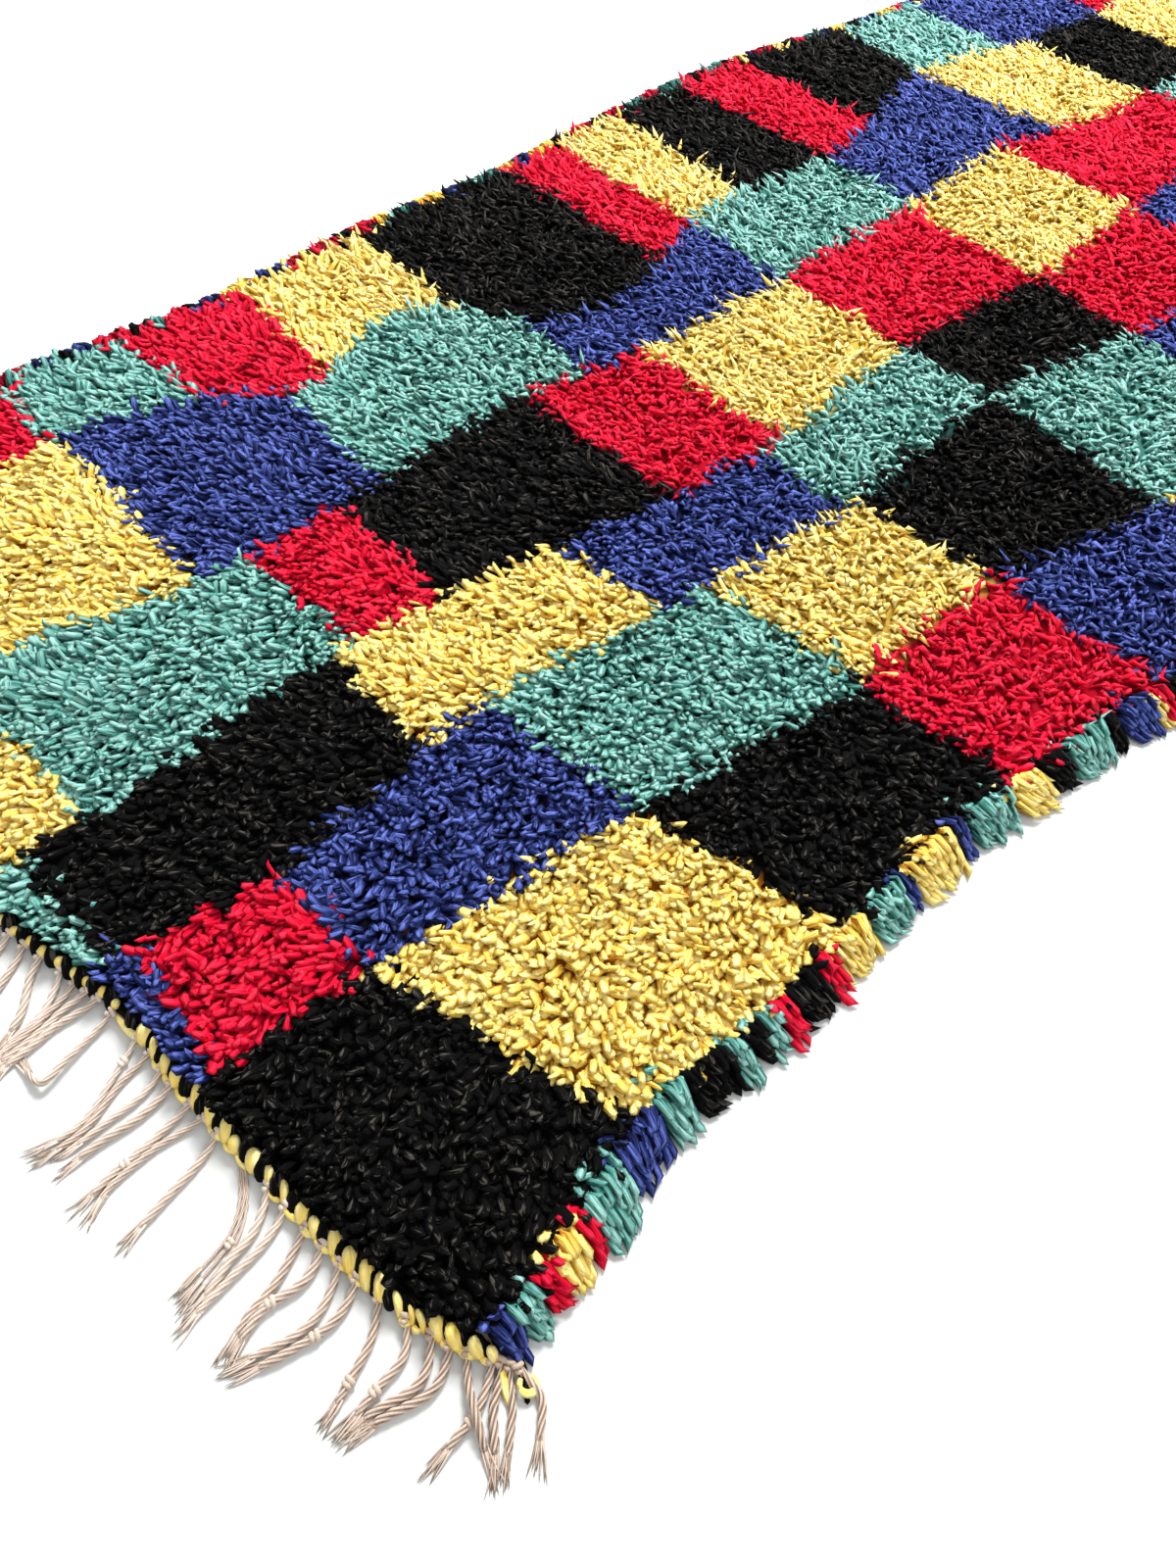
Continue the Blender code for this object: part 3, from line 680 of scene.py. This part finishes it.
def selvedge_locks(edge, outwards, groups, seed):
    """Strips side by side along a selvedge in layers, each through its layer's stations.

    A strip slides with its group and to the group's middle, as the square of the way to its tip.
    """
    rng = np.random.default_rng(seed)
    start = float(curve_through(NEAR_EDGE, curve_through(edge, 0.03))) + CORD_WIDE
    stop = float(curve_through(FAR_EDGE, curve_through(edge, NOMINAL_LENGTH))) - CORD_WIDE
    middles = groups["end"] - np.diff(groups["end"], prepend=start) / 2
    rows = []
    for stations in LOCK_LAYERS:
        root = np.arange(start, stop, LOCK_PITCH)
        n = len(root)
        root = root + rng.uniform(-LOCK_JITTER, LOCK_JITTER, n) * LOCK_PITCH
        group = np.searchsorted(groups["end"], root)
        out, high = np.array(stations).T / MM
        way = np.linspace(0, 1, len(out)) ** 2
        reach = groups["reach"][group] * rng.uniform(*LOCK_REACH_VARY, n)
        gather = LOCK_GATHER * (middles[group] - root)
        sway = rng.normal(0, LOCK_WANDER, (n, len(out))).cumsum(1) * way
        along = root[:, None] + (groups["slide"][group] + gather)[:, None] * way + sway
        over = np.where(out > 0, out * reach[:, None], out)
        across = curve_through(edge, root)[:, None] + outwards * over
        girth = ring_widths(rng, n, LOCK_WIDE, LOCK_GIRTHS, LOCK_VARY, LOCK_RING_VARY)
        girths = np.stack([girth, girth * LOCK_FLATNESS], -1)
        height = high * rng.uniform(*LOCK_HIGH_VARY, (n, 1))
        height = np.maximum(height, np.append(girths[..., 1], girths[:, -1:, 1] / 2, 1))
        roll = np.stack([rng.normal(0, 0.3, n), np.ones(n), rng.normal(0, 0.2, n)], 1)
        line = np.stack([across, along, height], -1)
        rows.append((line, girths, roll, rng.uniform(0, 1, n), groups["dye"][group]))
    return [np.concatenate(parts) for parts in zip(*rows)]


both = [selvedge_locks(*selvedge, 31 + k) for k, selvedge in enumerate(SELVEDGES)]
*locks, dye_of_lock = [np.concatenate(parts) for parts in zip(*both)]
for k, name in enumerate(DYE_NAMES):
    show_tufts(f"{name}_selvedge_locks", *(part[dye_of_lock == k] for part in locks), name)

# Twined end cords
# Both ends are closed with cotton strips twined over the last wefts. A yellow and a black strip take
# turns, each as a plump slanted pad up the pile's edge, and the yellow one links some pads below.

STITCH_PITCH = 0.0165
STITCH_STRAY = 0.0012
STITCH_SIDES = 6
# The near cord lies on a strip of flat warps, which is this thick
STRIP_THICK = 0.0030
# A pad's and a dot's stations in millimetres, as (inwards from the edge, slip along the end, height)
PAD_STATIONS = ((0.2, 5.6, 3.0), (6.4, 1.0, 12.0), (13.0, -7.0, 13.0))
DOT_STATIONS = ((3.0, 2.0, 7.0), (6.0, 0.0, 10.5), (9.5, -2.4, 9.5))
FOOT_HIGH = 0.004
PAD_WAYS = (0.0, 0.14, 0.32, 0.52, 0.72, 0.90, 1.0)
PAD_SWELL = (0.55, 0.86, 1.0, 1.04, 0.96, 0.66)
PAD_WIDE = 0.0046
PAD_THICK = 0.0030
PAD_SPREAD = 1.18
PAD_VARY = 0.15
# A pad with a smaller share of the full length than this is a dot
DOTS_BELOW = 0.55
DOT_WIDE = 0.0036
DOT_LONG = 0.42
BLACK_WIDE = (0.0028, 0.0062)
BLACK_FILL = 1.25
BLACK_LOWER = 0.0012
# A link's stations in millimetres, as (inwards, height), its ends past its two pads, and half widths
LINKED = 0.75
LINK_STATIONS = ((0.8, 4.0), (-1.0, 5.0), (1.0, 4.2))
LINK_PAST = (0.005, 0.003)
LINK_WIDE = (0.0026, 0.0038)
LINK_THICK = 0.0028
# The core behind the pads: (inwards, height) and half widths
CORE_AT = (0.0105, 0.0040)
CORE_GIRTH = (0.0078, 0.0036)
CORE_PAST = 0.004
CORE_STEPS = 48
# The yellow pads that show, from the plain dots to the corner, as (across and half width in
# millimetres, share of the full length)
SEEN_PADS = (
    (803, 3.3, 0.42), (817, 3.2, 0.42), (834, 3.4, 0.42), (851, 3.4, 0.42), (889, 6.2, 1.0),
    (905, 2.9, 0.8), (921, 4.0, 0.75), (938, 4.7, 0.75), (960, 3.5, 1.1), (981, 4.5, 1.15),
    (1001, 4.7, 1.1), (1015, 4.0, 0.65), (1035, 5.4, 0.95), (1054, 3.0, 0.85), (1070, 2.7, 1.0),
    (1093, 5.0, 0.8), (1107, 3.6, 0.8), (1126, 4.7, 1.05), (1144, 5.0, 1.1), (1160, 4.7, 1.1),
    (1175, 5.2, 1.1), (1193, 2.7, 0.95), (1204, 1.8, 0.75), (1212, 2.3, 0.8), (1225, 5.0, 1.0),
    (1237, 5.2, 1.05), (1252, 4.8, 0.8), (1263, 3.4, 0.65),
)
SEEN_PAD_UNITS = (MM, MM, 1)
# Ends of the strips at the right corner, as (dye; root past the cord's end, length and lift, all in
# millimetres; its way on, and how far it turns)
CORNER_ENDS = (
    ("yellow", (1270, 44), 27, 4, (0.8, -0.6), 0.3), ("yellow", (1286, 48), 32, 5, (0.1, -1.0), 5.2),
    ("black", (1270, 58), 36, 3, (1.0, -0.3), -0.4), ("black", (1266, 52), 26, 4, (1.0, -0.2), 0.4),
)
CURL_STEPS = 18
CURL_HIGH = 0.0026
CURL_GIRTH = (0.0030, 0.0020)


def arc(start, middle, end):
    """Stations along a parabola through three places, each (n, 3), at the pad's ways."""
    t = np.array(PAD_WAYS)[None, :, None]
    first, second, third = (1 - t) * (1 - 2 * t), 4 * t * (1 - t), t * (2 * t - 1)
    return start[:, None] * first + middle[:, None] * second + end[:, None] * third


def pad_girths(wide, thick):
    """Half widths of pads: blunt and full, and narrower at the outer end."""
    swell = np.array(PAD_SWELL)
    return np.stack([wide[:, None] * swell, thick[:, None] * swell], -1)


def on_cord(edge, across, outward, inwards, slip, height):
    """A place on the cord: so far in from its outer edge, slipped along it, at a height."""
    step = 1e-3
    rise = curve_through(edge, across + step) - curve_through(edge, across - step)
    way = unit(np.stack([np.full(across.shape, 2 * step), rise], -1))
    out = np.stack([way[:, 1], -way[:, 0]], -1) * outward
    place = np.stack([across, curve_through(edge, across)], -1)
    plan = place - out * np.asarray(inwards)[..., None] + way * np.asarray(slip)[..., None]
    return np.concatenate([plan, (height + 0 * across)[:, None]], 1)


def show_strips(name, line, girths, dye, replaced, rng):
    """Cotton strips of one dye as one piece, their flat side up, in the tufts' own cloth."""
    n, rings = girths.shape[:2]
    steps = unit(line[:, -1] - line[:, 0])
    roll = np.stack([-steps[:, 1], steps[:, 0], np.zeros(n)], 1)
    # Painted light: the shares give painted shade at a strip's first ring, lighter towards its last ring, and
    # painted shade again at its tip
    share = np.append(np.repeat(np.linspace(0.62, 0.92, rings), STITCH_SIDES), 0.55)
    parts = strands(line, girths, roll, STITCH_SIDES)
    dyed_piece(name, dye, parts, rng.uniform(0.2, 0.9, n), share, replaced)


def end_corners(edge):
    """Where an end meets the two selvedges."""
    left, right = 0.0, NOMINAL_WIDTH
    for _ in range(EDGE_ROUNDS):
        left = float(curve_through(LEFT_EDGE, curve_through(edge, left)))
        right = float(curve_through(RIGHT_EDGE, curve_through(edge, right)))
    return left, right


def twined_cord(end_name, edge, outward, base, dotted_until, seen, seed):
    """Yellow pads, or dots up to a place, then the seen ones, with links between some of their feet,
    black pads in the gaps, and a dark core behind them along the whole end.
    """
    rng = np.random.default_rng(seed)
    left, right = end_corners(edge)
    seen = np.array(seen).reshape(-1, 3) / SEEN_PAD_UNITS
    first = min(seen[:, 0], default=right + STITCH_PITCH / 2)
    across = np.arange(left + STITCH_PITCH / 2, first - STITCH_PITCH / 2, STITCH_PITCH)
    across = across + rng.normal(0, STITCH_STRAY, len(across))
    dotted = across < dotted_until
    wide = np.where(dotted, DOT_WIDE, PAD_WIDE) * rng.uniform(0.8, 1.2, len(across))
    long = np.where(dotted, DOT_LONG, 1.0) * rng.uniform(1 - PAD_VARY, 1 + PAD_VARY, len(across))
    across, wide, long = np.concatenate([np.stack([across, wide, long], 1), seen]).T
    wide = wide * PAD_SPREAD
    replaced = f"{end_name}_end_cord"

    def pads(at, half, share, lower):
        n = len(at)
        dots = (share < DOTS_BELOW)[:, None]
        spots = []
        for pad, dot in zip(PAD_STATIONS, DOT_STATIONS):
            drawn = np.array(pad) * np.stack([share, share, np.ones(n)], 1)
            inwards, slip, height = np.where(dots, dot, drawn).T / MM
            slip = slip + rng.normal(0, 0.0009, n)
            lifted = (height - lower) * rng.uniform(0.88, 1.08, n)
            high = base + np.where(height > FOOT_HIGH, lifted, height)
            inwards = inwards * rng.uniform(1 - PAD_VARY, 1 + PAD_VARY, n)
            spots.append(on_cord(edge, at, outward, inwards, slip, high))
        return arc(*spots), pad_girths(half, np.minimum(PAD_THICK * rng.uniform(0.85, 1.1, n), half))

    # Yellow: the pads, then the links from one pad's foot to the next
    linked = np.flatnonzero((long[1:] > DOTS_BELOW) & (rng.uniform(0, 1, len(across) - 1) < LINKED))
    foot, next_foot = across[linked] + LINK_PAST[0], across[linked + 1] + LINK_PAST[1]
    links = arc(*(
        on_cord(edge, at, outward, inwards / MM + 0 * foot, 0 * foot, base + height / MM)
        for at, (inwards, height) in zip((foot, (foot + next_foot) / 2, next_foot), LINK_STATIONS)
    ))
    line, girths = pads(across, wide, long, 0.0)
    of_links = pad_girths(rng.uniform(*LINK_WIDE, len(foot)), np.full(len(foot), LINK_THICK))
    line, girths = np.concatenate([line, links]), np.concatenate([girths, of_links])
    show_strips(f"{end_name}_cord_yellow_pads", line, girths, "yellow", replaced, rng)
    # Black: one pad in each gap, and wider ones round the dots
    gap = np.diff(across) - wide[1:] - wide[:-1]
    half = np.where(long[1:] < DOTS_BELOW, BLACK_WIDE[1], np.clip(gap / 2 * BLACK_FILL, *BLACK_WIDE))
    share = rng.uniform(0.95, 1.15, len(half))
    line, girths = pads((across[1:] + across[:-1]) / 2, half, share, BLACK_LOWER)
    show_strips(f"{end_name}_cord_black_pads", line, girths, "black", replaced, rng)
    # The core behind the pads, as one strip
    at = np.linspace(across[0] - CORE_PAST, across[-1], CORE_STEPS)
    core = on_cord(edge, at, outward, np.full(CORE_STEPS, CORE_AT[0]), 0 * at, base + CORE_AT[1])[None]
    core_girths = np.tile(CORE_GIRTH, (1, CORE_STEPS - 1, 1))
    show_strips(f"{end_name}_cord_black_core", core, core_girths, "black", replaced, rng)


def corner_ends():
    """The last strips at the right corner, each curling out over the floor: it turns and falls."""
    rng = np.random.default_rng(12)
    for k, (dye, root, long, lift, way, turn) in enumerate(CORNER_ENDS):
        t = np.linspace(0, 1, CURL_STEPS)
        angle = np.arctan2(way[1], way[0]) + turn * t
        step = np.stack([np.cos(angle), np.sin(angle)], 1) * (np.diff(t, prepend=0) * long / MM)[:, None]
        plan = np.array(root) / MM + np.cumsum(step, 0)
        high = CURL_HIGH + lift / MM * np.cos(np.pi / 2 * t) ** 2
        line = np.concatenate([plan, high[:, None]], 1)[None]
        girths = np.outer(np.interp(t[:-1], PAD_WAYS[:-1], PAD_SWELL), CURL_GIRTH)[None]
        show_strips(f"corner_strip_{k}", line, girths, dye, "near_end_cord", rng)


twined_cord("near", NEAR_EDGE, 1, STRIP_THICK, 0.80, SEEN_PADS, 8)
twined_cord("far", FAR_EDGE, -1, 0.0, -1.0, (), 9)
corner_ends()

# Warp fringe
# The ends of the undyed cotton warps, left loose past the cord at the near end: each is a bundle of
# fine yarns twisted together, some knotted near the tip, and all frayed where they were cut.

WARP_PITCH = 0.018
WARP_WIDE = 0.0078
WARP_FLATNESS = 0.92
WARP_VARY = (0.92, 1.08)
WARP_YARNS = 5
WARP_RINGS = 30
WARP_TURN_EVERY = 0.050
WARP_NEIGHBOUR = 0.0054
WARP_WAVE = 0.0016
WARP_WAVES = 1.3
# At its root a warp lies under the cord, rises over its edge, and is drawn thin, as it is near its tip
WARP_ROOT_IN = 0.0050
WARP_ROOT_RISE = 0.0066
WARP_RISE_WITHIN = 0.08
WARP_ROOT_THINS = 0.30
WARP_TIP_THINS = 0.22
BODY_UNTIL = 0.90
# The fine noise on a warp: one yarn's width, and how far it runs along
YARN_GRAIN = (0.0011, 0.010)
# Warps near the right corner are browner, from the first place across to the second
DUSTY_FROM = (1.05, 1.24)
DUSTY_TONE = (1.0, 0.45)
# Coils, with (radius, half width, turns) of the looped heads and of the knots
COIL_STEPS = 12
COIL_SIDES = 6
COIL_LONG = 3.0
HEAD_AT = 0.045
HEAD_COIL = (0.0033, 0.0022, 1.3)
KNOT_COIL = (0.0032, 0.0021, 1.5)
# Frays: heights of the stations, half widths at the rings, and how the yarns fan out and wander
FRAY_YARNS = 8
FRAY_LONG = (0.020, 0.032)
FRAY_HIGH = (0.0036, 0.0032, 0.0023, 0.0016, 0.0009)
FRAY_GIRTHS = (0.00115, 0.0011, 0.00095, 0.0007)
FRAY_ASIDE = 0.0022
FRAY_FAN = 0.06
FRAY_WANDER = (0.05, 0.07)
# Warps up to here across are random ones, within these ranges of tip across, tip along and bow
UNSEEN_UP_TO = 0.752
UNSEEN_RANGES = ((0.002, 0.040), (-0.098, -0.068), (0.000, 0.012))
# The warps that show. Each is (root across; tip across and tip along, from the root; bow across, bow
# along and sway of its middle; its knot's share of the way, or 0; how high it crosses over others;
# and its width, as a share), with lengths in millimetres
SEEN_WARPS = (
    (765, 48, -55, 3, 1, -4, 0, 0, 1.0), (788, 39, -72, 8, 3, 1, 0, 0, 0.9),
    (806, 24, -82, 0, -2, 2, 0, 0, 0.9), (821, 15, -91, 0, 0, -3, 0, 0, 1.0),
    (833, 6, -93, -7, -1, 2, 0, 0, 0.9), (850, -20, -74, 31, -26, -6, 0, 6, 0.9),
    (882, 33, -104, 14, -2, -2, 0.22, 0, 0.8), (903, 20, -104, 6, -4, -4, 0, 0, 0.8),
    (920, 10, -90, 6, 0, 2, 0, 0, 0.9), (937, 3, -93, 5, -3, 1, 0, 0, 1.0),
    (962, 12, -103, 2, -3, -1, 0.66, 0, 0.9), (980, 5, -99, -10, -5, 0, 0, 0, 0.9),
    (995, 26, -91, 3, 0, 2, 0, 0, 1.0), (1013, 62, -86, 16, 16, 0, 0, 0, 0.4),
    (1017, 64, -90, 18, 15, 1, 0.68, 0, 0.45), (1022, 65, -92, 18, 14, 0, 0, 0, 0.4),
    (1055, 38, -87, 8, 3, 3, 0, 0, 1.0), (1077, 21, -101, 6, 2, 2, 0, 0, 1.0),
    (1099, 32, -89, 5, 2, 0, 0, 0, 0.9), (1118, 23, -90, 0, 1, 7, 0.66, 0, 1.0),
    (1136, 9, -97, 17, 2, 2, 0, 0, 1.0), (1154, -1, -96, 14, 2, 3, 0.56, 0, 1.0),
    (1175, 38, -71, 8, 5, 1, 0.8, 0, 1.0), (1199, 29, -73, 10, 9, 4, 0.78, 0, 1.0),
    (1220, 14, -76, 13, 5, 4, 0, 0, 1.0), (1234, 7, -79, 11, 3, 5, 0, 0, 1.0),
    (1246, 66, -30, 0, -3, 0, 0, 7, 1.0), (1263, 26, -64, 6, 1, 3, 0.62, 0, 1.0),
    (1269, 44, -41, 0, -3, 0, 0, 0, 1.0), (1273, 50, -40, 3, 2, 2, 0, 0, 0.9),
    (1276, 53, -22, 4, 14, 2, 0, 0, 0.9),
)
SEEN_WARP_UNITS = (MM, MM, MM, MM, MM, MM, 1, MM, 1)


def warp_material():
    """Undyed cotton warp: fine yarns side by side, cream with a painted highlight on the ridges, and painted
    brown shade in the grooves.
    """
    made, tree = new_material("plied undyed cotton warp")
    strand = node(tree, "UVMap", uv_map="strand").outputs["UV"]
    wide, long = YARN_GRAIN
    at = node(tree, "Mapping", {"Scale": (1 / wide, 1 / long, 1.0)}, {"Vector": strand})
    fibres = fibre_noise(tree, at.outputs[0], 0.6)
    lift = times_plus(tree, fed(tree, "painted_ridge_light"), 0.74, -0.30)
    shade = times_plus(tree, fibres, 0.5, times_plus(tree, fed(tree, "tone"), 0.44, lift))
    # Stops: painted shade in the grooves, the cotton's own cream, and a painted highlight on the ridges
    stops = ((0.08, linear("5E4436")), (0.50, linear("C0A996")), (0.90, linear("EADFD4")))
    settings = {"Roughness": 0.85, "IOR": 1.5, "Specular IOR Level": 0.3}
    end_material(tree, settings, shade_ramp(tree, shade, stops), fibres, 0.8, 0.0008)
    return made


def spread_apart(x, least):
    """Moves sorted places just enough that neighbours are at least this far apart."""
    y = x - least * np.arange(len(x))
    up = np.maximum.accumulate(y)
    down = np.minimum.accumulate(y[::-1])[::-1]
    return (up + down) / 2 + least * np.arange(len(x))


def warp_lines(warps, rng):
    """Centre lines and half widths of warps, from rows of the table above.

    A warp rises over the cord's edge, falls, and runs to its tip on a bowed and swaying line. Warps
    that don't cross others lie at least a neighbour's width apart.
    """
    root, over, down, bow, sag, sway, _, rise, wide = (column[:, None] for column in warps.T)
    n = len(root)
    t = np.linspace(0, BODY_UNTIL, WARP_RINGS + 1)[None]
    arch = 4 * t * (1 - t)
    wave = WARP_WAVE * np.sin(2 * np.pi * (WARP_WAVES * t + rng.uniform(0, 1, (n, 1)))) * t
    x = root + over * t + arch * bow + sway * np.sin(2 * np.pi * t) + wave
    flat = rise[:, 0] == 0
    x[flat] = np.stack([spread_apart(step, WARP_NEIGHBOUR) for step in x[flat].T], 1)
    y = curve_through(NEAR_EDGE, root) + WARP_ROOT_IN * (1 - t) ** 8 + down * t + arch * sag
    thick = WARP_WIDE / 2 * wide * rng.uniform(*WARP_VARY, (n, 1))
    thick = thick * (1 - WARP_TIP_THINS * np.clip(t * 4 - 3, 0, 1) - WARP_ROOT_THINS * (1 - t) ** 12)
    z = thick + WARP_ROOT_RISE * fade(t, WARP_RISE_WITHIN) + rise * np.sin(np.pi * t) ** 2
    return np.stack([x, y, z], -1), np.stack([thick, thick * WARP_FLATNESS], -1)[:, :-1]


def coils(line, share, radius, girth, turns):
    """Coils round the warps at a share of their way: a short turn of yarn, as a knot or a looped head."""
    at = np.arange(len(line))
    ring = np.clip((share * WARP_RINGS).astype(int), 1, WARP_RINGS - 2)
    ahead = unit(line[at, ring + 1] - line[at, ring - 1])
    turn = np.linspace(-0.2, 2 * np.pi * turns, COIL_STEPS + 1)[None, :, None]
    wide = unit(np.cross(ahead, [0.0, 0.0, 1.0]))[:, None]
    rise = np.cross(wide[:, 0], ahead)[:, None]
    around = wide * np.cos(turn) + rise * np.sin(turn) * 0.9
    path = ahead[:, None] * (turn / turn.max() - 0.5) * girth[:, None, None] * COIL_LONG
    path = line[at, ring][:, None] + path + around * radius[:, None, None]
    path[..., 2] = np.maximum(path[..., 2], girth[:, None] * 1.05)
    return strands(path, np.tile(girth[:, None, None], (1, COIL_STEPS, 2)), ahead, COIL_SIDES)


def frayed_tips(line, wide, rng):
    """Fine yarns that go on from each tip: a bundle that fans out and comes to lie flat on the floor."""
    n, steps = len(line), len(FRAY_GIRTHS)
    many = n * FRAY_YARNS
    start = np.repeat(line[:, -3], FRAY_YARNS, 0)
    way = unit(np.repeat(line[:, -1] - line[:, -4], FRAY_YARNS, 0)[:, :2])
    aside = np.tile(np.linspace(-1, 1, FRAY_YARNS), n)[:, None] * np.repeat(wide, FRAY_YARNS)[:, None]
    square = np.stack([-way[:, 1], way[:, 0]], 1)
    long = rng.uniform(*FRAY_LONG, (many, 1))
    plan = [start[:, :2] + square * aside * FRAY_ASIDE]
    lean = aside * FRAY_FAN + rng.normal(0, FRAY_WANDER[0], (many, 1))
    for _ in range(steps):
        plan.append(plan[-1] + (way + square * lean) * long / steps)
        lean = lean + rng.normal(0, FRAY_WANDER[1], (many, 1))
    high = np.array(FRAY_HIGH) * rng.uniform(0.75, 1.25, (many, 1))
    fray = np.concatenate([np.stack(plan, 1), high[..., None]], -1)
    girths = np.tile(np.array(FRAY_GIRTHS)[None, :, None], (many, 1, 2))
    return strands(fray, girths, np.tile([0.0, 0.0, 1.0], (many, 1)), 3)


def warp_fringe():
    """All warps as one mesh: twisted bodies, looped heads, knots and frayed tips."""
    rng = np.random.default_rng(5)
    left, _ = end_corners(NEAR_EDGE)
    unseen = [
        (root, *(rng.uniform(*ends) for ends in UNSEEN_RANGES), 0, 0, 0, 0, 1)
        for root in np.arange(left + 0.5 * WARP_PITCH, UNSEEN_UP_TO, WARP_PITCH)
    ]
    warps = np.concatenate([unseen, np.array(SEEN_WARPS) / SEEN_WARP_UNITS])
    root, knot, wide = warps[:, 0], warps[:, 6], warps[:, 8]
    n = len(root)
    line, girths = warp_lines(warps, rng)
    reach = np.linalg.norm(np.diff(line, axis=1), axis=-1).cumsum(1)
    twist = reach / WARP_TURN_EVERY * 2 * np.pi
    sides = 2 * WARP_YARNS
    body = strands(line, girths, np.tile([0.0, 0.0, 1.0], (n, 1)), sides, twist, plied=True)
    radius, girth, turns = HEAD_COIL
    heads = coils(line, np.full(n, HEAD_AT), radius * wide, girth * wide, turns)
    tied = knot > 0
    radius, girth, turns = KNOT_COIL
    knots = coils(line[tied], knot[tied], radius * np.sqrt(wide[tied]), girth + 0 * wide[tied], turns)
    tails = frayed_tips(line, wide, rng)
    tone = rng.uniform(0.6, 1, n) * np.interp(root, DUSTY_FROM, DUSTY_TONE)
    # Painted light on each point, full on the ridges and low for painted shade in the grooves: every other
    # point of a body, and every other yarn of a fray, is in the grooves
    painted_ridge_light = np.append(np.tile(np.where(np.arange(sides) % 2 == 1, 0.0, 1.0), WARP_RINGS), 1.0)
    yarn = len(tails[0]) // (n * FRAY_YARNS)
    ridges = (
        np.tile(painted_ridge_light, n), np.full(len(heads[0]), 0.55), np.full(len(knots[0]), 0.62),
        np.tile(np.repeat([0.35, 0.8], yarn), n * FRAY_YARNS // 2),
    )
    # One mesh from the four
    points, corners, sizes, uv = zip(body, heads, knots, tails)
    counts = [len(part) for part in points]
    tones = [np.repeat(own, count // len(own)) for own, count in zip((tone, tone, tone[tied], tone), counts)]
    corners = [part + start for part, start in zip(corners, np.cumsum([0, *counts]))]
    points, corners, uv, painted_ridge_light, tones = map(np.concatenate, (points, corners, uv, ridges, tones))
    values = {"painted_ridge_light": painted_ridge_light, "tone": tones}
    piece = mesh_piece("warp_ends", warp_material(), points, corners, sum(sizes, []), uv, values)
    settle(piece, "warp_fringe")


warp_fringe()

# Floor, light and camera
# The rug lies on a plain pale floor in a bright, even studio, and is seen from a standing person's
# chest height beside its right front corner, looking down along it.

FLOOR_SIDE = 14.0
CAMERA_PLACE = (1.42845, -0.07588, 0.939)
CAMERA_RIGHT = (0.67613, 0.73543, 0.04463)
CAMERA_UP = (-0.60360, 0.51816, 0.60596)
CAMERA_FORWARD = (-0.42252, 0.43664, -0.79424)
LENS_MM = 28.125
SENSOR_MM = 36.0

floor_material, tree = new_material("matt white floor")
end_material(tree, {"Base Color": linear("D6D8D7"), "Roughness": 0.8})
side = FLOOR_SIDE / 2
square = [(-side, -side, 0), (side, -side, 0), (side, side, 0), (-side, side, 0)]
floor = mesh_piece("floor", floor_material, square, [0, 1, 2, 3], [4])

world = bpy.data.worlds.new("studio")
bpy.context.scene.world = world
world.use_nodes = True
background = world.node_tree.nodes["Background"].inputs
background["Color"].default_value = linear("FFFFFF")
background["Strength"].default_value = 0.62


def put(name, data, axes, place):
    """A light or camera at a place, turned so that its own axes lie along these three."""
    made = bpy.data.objects.new(name, data)
    turn = np.column_stack([*axes, place]).tolist()
    made.matrix_world = Matrix([*turn, [0, 0, 0, 1]])
    bpy.context.collection.objects.link(made)
    return made


for name, place, size, watts in (
    ("key_softbox", (-1.2, 1.6, 3.4), 1.5, 330.0),
    ("fill_softbox", (2.6, -1.4, 3.0), 2.6, 40.0),
):
    light = bpy.data.lights.new(name, "AREA")
    light.shape = "SQUARE"
    light.size = size
    light.energy = watts
    back = unit(np.array(place))
    right = unit(np.cross((0, 0, 1), back))
    put(name, light, (right, np.cross(back, right), back), np.array(place))

camera_data = bpy.data.cameras.new("camera")
camera_data.lens = LENS_MM
camera_data.sensor_width = SENSOR_MM
camera_data.clip_start = 0.01
axes = (CAMERA_RIGHT, CAMERA_UP, -np.array(CAMERA_FORWARD))
bpy.context.scene.camera = put("camera", camera_data, axes, np.array(CAMERA_PLACE) + TO_FRAME)
bpy.context.scene.view_settings.view_transform = "Standard"
